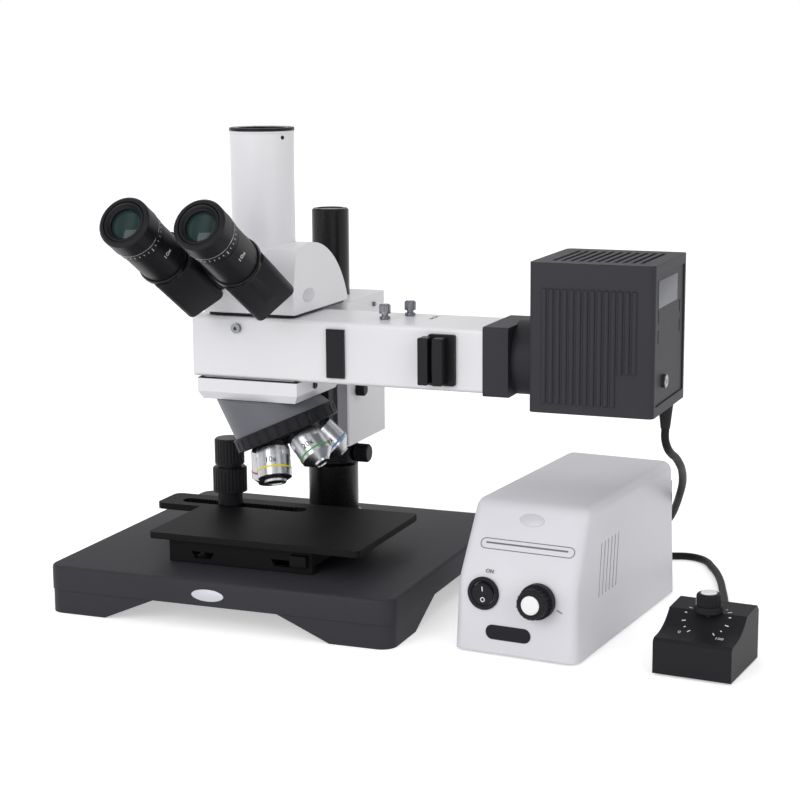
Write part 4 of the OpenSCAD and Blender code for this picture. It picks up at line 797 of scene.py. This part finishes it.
for seat, (ring_name, ring_colour, nose, power_name) in enumerate(OBJECTIVES):
    seat_frame = (turret_frame @ about("Z", seat * SEAT_STEP) @ at(-SEAT_RADIUS, 0, 0)
                  @ about("Y", TURRET_TILT))
    lacquer = coat(ring_name + "_ring_lacquer", ring_colour, ring_colour, 0.3, 0.04, 900, edge=0.0001)
    ring = turn_profile([(12.4, -25.5), (12.95, -25.4), (12.95, -24.1), (12.4, -24.0)], hollow=True)
    finish_piece(ring, "objective_ring_" + ring_name, seat_frame, lacquer, "turret")
    front_lens = turn_profile([(nose - 0.2, -33.6), (nose - 0.2, -34.2), (nose * 0.6, -34.5), (0.4, -34.6)],
                              sides=40)
    finish_piece(front_lens, "objective_lens_" + ring_name, seat_frame, coated_glass, "turret")
    start_piece()
    bpy.ops.mesh.primitive_cylinder_add(vertices=120, radius=12.75, depth=5, location=(0, 0, -13),
                                        end_fill_type="NOTHING")
    band = bpy.context.object
    for item in [*band.data.vertices, *band.data.edges]:
        item.select = False
    for index, face in enumerate(band.data.polygons):
        face.select = index % 2 == 0
    bpy.context.tool_settings.mesh_select_mode = (False, False, True)
    bpy.ops.object.mode_set(mode="EDIT")
    bpy.ops.mesh.inset(thickness=0.12, depth=0.16, use_individual=True)
    bpy.ops.object.mode_set(mode="OBJECT")
    solid = band.modifiers.new("wall", "SOLIDIFY")
    solid.thickness = 0.3
    solid.offset = -1
    bpy.ops.object.modifier_apply(modifier="wall")
    finish_piece(band, "objective_knurl_" + ring_name, seat_frame, satin_chrome, "turret",
                 crease=20)
    power = shape_letters(power_name, 6.0, 0.1)
    power.data.transform(about("Z", FACING - seat * SEAT_STEP) @ at(12.68, 0, -19.8) @ about("Y", 90)
                         @ about("Z", 90))
    finish_piece(power, "objective_figures_" + ring_name, seat_frame, engraved_black, "turret")


# Small screws and pins of the stand
# Socket screw in the holder's flank, polished index pin on the focus block, and the
# screw of the lamp house's door.
holder_screw = turn_profile([(1.55, -2), (1.55, 0.1), (2.8, 0.12), (2.8, 1.1), (2.4, 1.5), (1.4, 1.5),
                             (1.3, 0.6), (0.2, 0.5)], sides=32)
finish_piece(holder_screw, "holder_screw", at(41, -38.1, 169.2) @ about("Y", 90), blackened_steel, "scope")
index_pin = turn_profile([(1.9, -2.5), (1.9, 1.8), (1.5, 2.3), (0.5, 2.4)], sides=32)
finish_piece(index_pin, "index_pin", at(34, 97, 213) @ about("Y", 90), chrome_plate, "stand")
door_nut = turn_profile([(3.1, -2), (3.1, -0.2), (4.8, 0), (4.8, 2.6), (4.2, 3.1), (1.8, 3.1), (1.6, 2.4),
                         (0.3, 2.3)], sides=40)
finish_piece(door_nut, "lamp_door_screw", at(312.5, -57.25, 191.5) @ about("Y", 90), chrome_plate, "scope")


# Floor and studio light
# A white floor that glows a little where the camera sees it, a soft banded sky, and two panels.
FLOOR_LIFT = 0.46
bpy.ops.mesh.primitive_plane_add(size=12, location=(0, 0, 0))
floor = bpy.context.object
floor.name = "floor"
floor_white, tree = blank_material("floor_white")
lit = add(tree, "BsdfDiffuse", {"Color": linear("#F4F4F4")})
paths = add(tree, "LightPath")
direct = add(tree, "Math", {}, {0: paths.outputs["Is Camera Ray"], 1: paths.outputs["Is Glossy Ray"]},
             operation="MAXIMUM")
seen = add(tree, "Math", {}, {0: direct.outputs[0], 1: paths.outputs["Is Transmission Ray"]},
           operation="MAXIMUM")
lift = add(tree, "Math", {1: FLOOR_LIFT}, {0: seen.outputs[0]}, operation="MULTIPLY")
glow = add(tree, "Emission", {"Color": (1, 1, 1, 1)}, {"Strength": lift.outputs[0]})
floor.data.materials.append(floor_white)
close_material(tree, add(tree, "AddShader", {}, {0: lit.outputs[0], 1: glow.outputs[0]}))
world = bpy.data.worlds.new("studio")
world.use_nodes = True
scene.world = world
tree = world.node_tree
tree.nodes.clear()
paths = add(tree, "LightPath")
sky = add(tree, "TexCoord")
bands = add(tree, "TexWave", {"Scale": 0.55, "Phase Offset": 0.6}, {"Vector": sky.outputs["Generated"]})
level = add(tree, "MapRange", {"To Min": 0.42, "To Max": 1.08}, {"Value": bands.outputs["Fac"]})
soft = add(tree, "Background", {"Color": (1, 1, 1, 1)}, {"Strength": level.outputs["Result"]})
shown = add(tree, "Background", {"Color": (1, 1, 1, 1), "Strength": 1.0})
pick = add(tree, "MixShader", {}, {0: paths.outputs["Is Camera Ray"], 1: soft.outputs[0],
                                   2: shown.outputs[0]})
add(tree, "OutputWorld", {}, {"Surface": pick.outputs[0]})


def panel_light(name, place, target, size, watts):
    data = bpy.data.lights.new(name, "AREA")
    data.shape = "SQUARE"
    data.size = size
    data.energy = watts
    lamp = bpy.data.objects.new(name, data)
    scene.collection.objects.link(lamp)
    lamp.location = place
    lamp.rotation_euler = (Vector(target) - Vector(place)).to_track_quat("-Z", "Y").to_euler()


panel_light("key_panel", (-0.4, -1.9, 0.95), (0.1, 0, 0.16), 1.1, 13)
panel_light("right_panel", (1.7, -1.3, 1.1), (0.2, 0, 0.12), 0.8, 4)
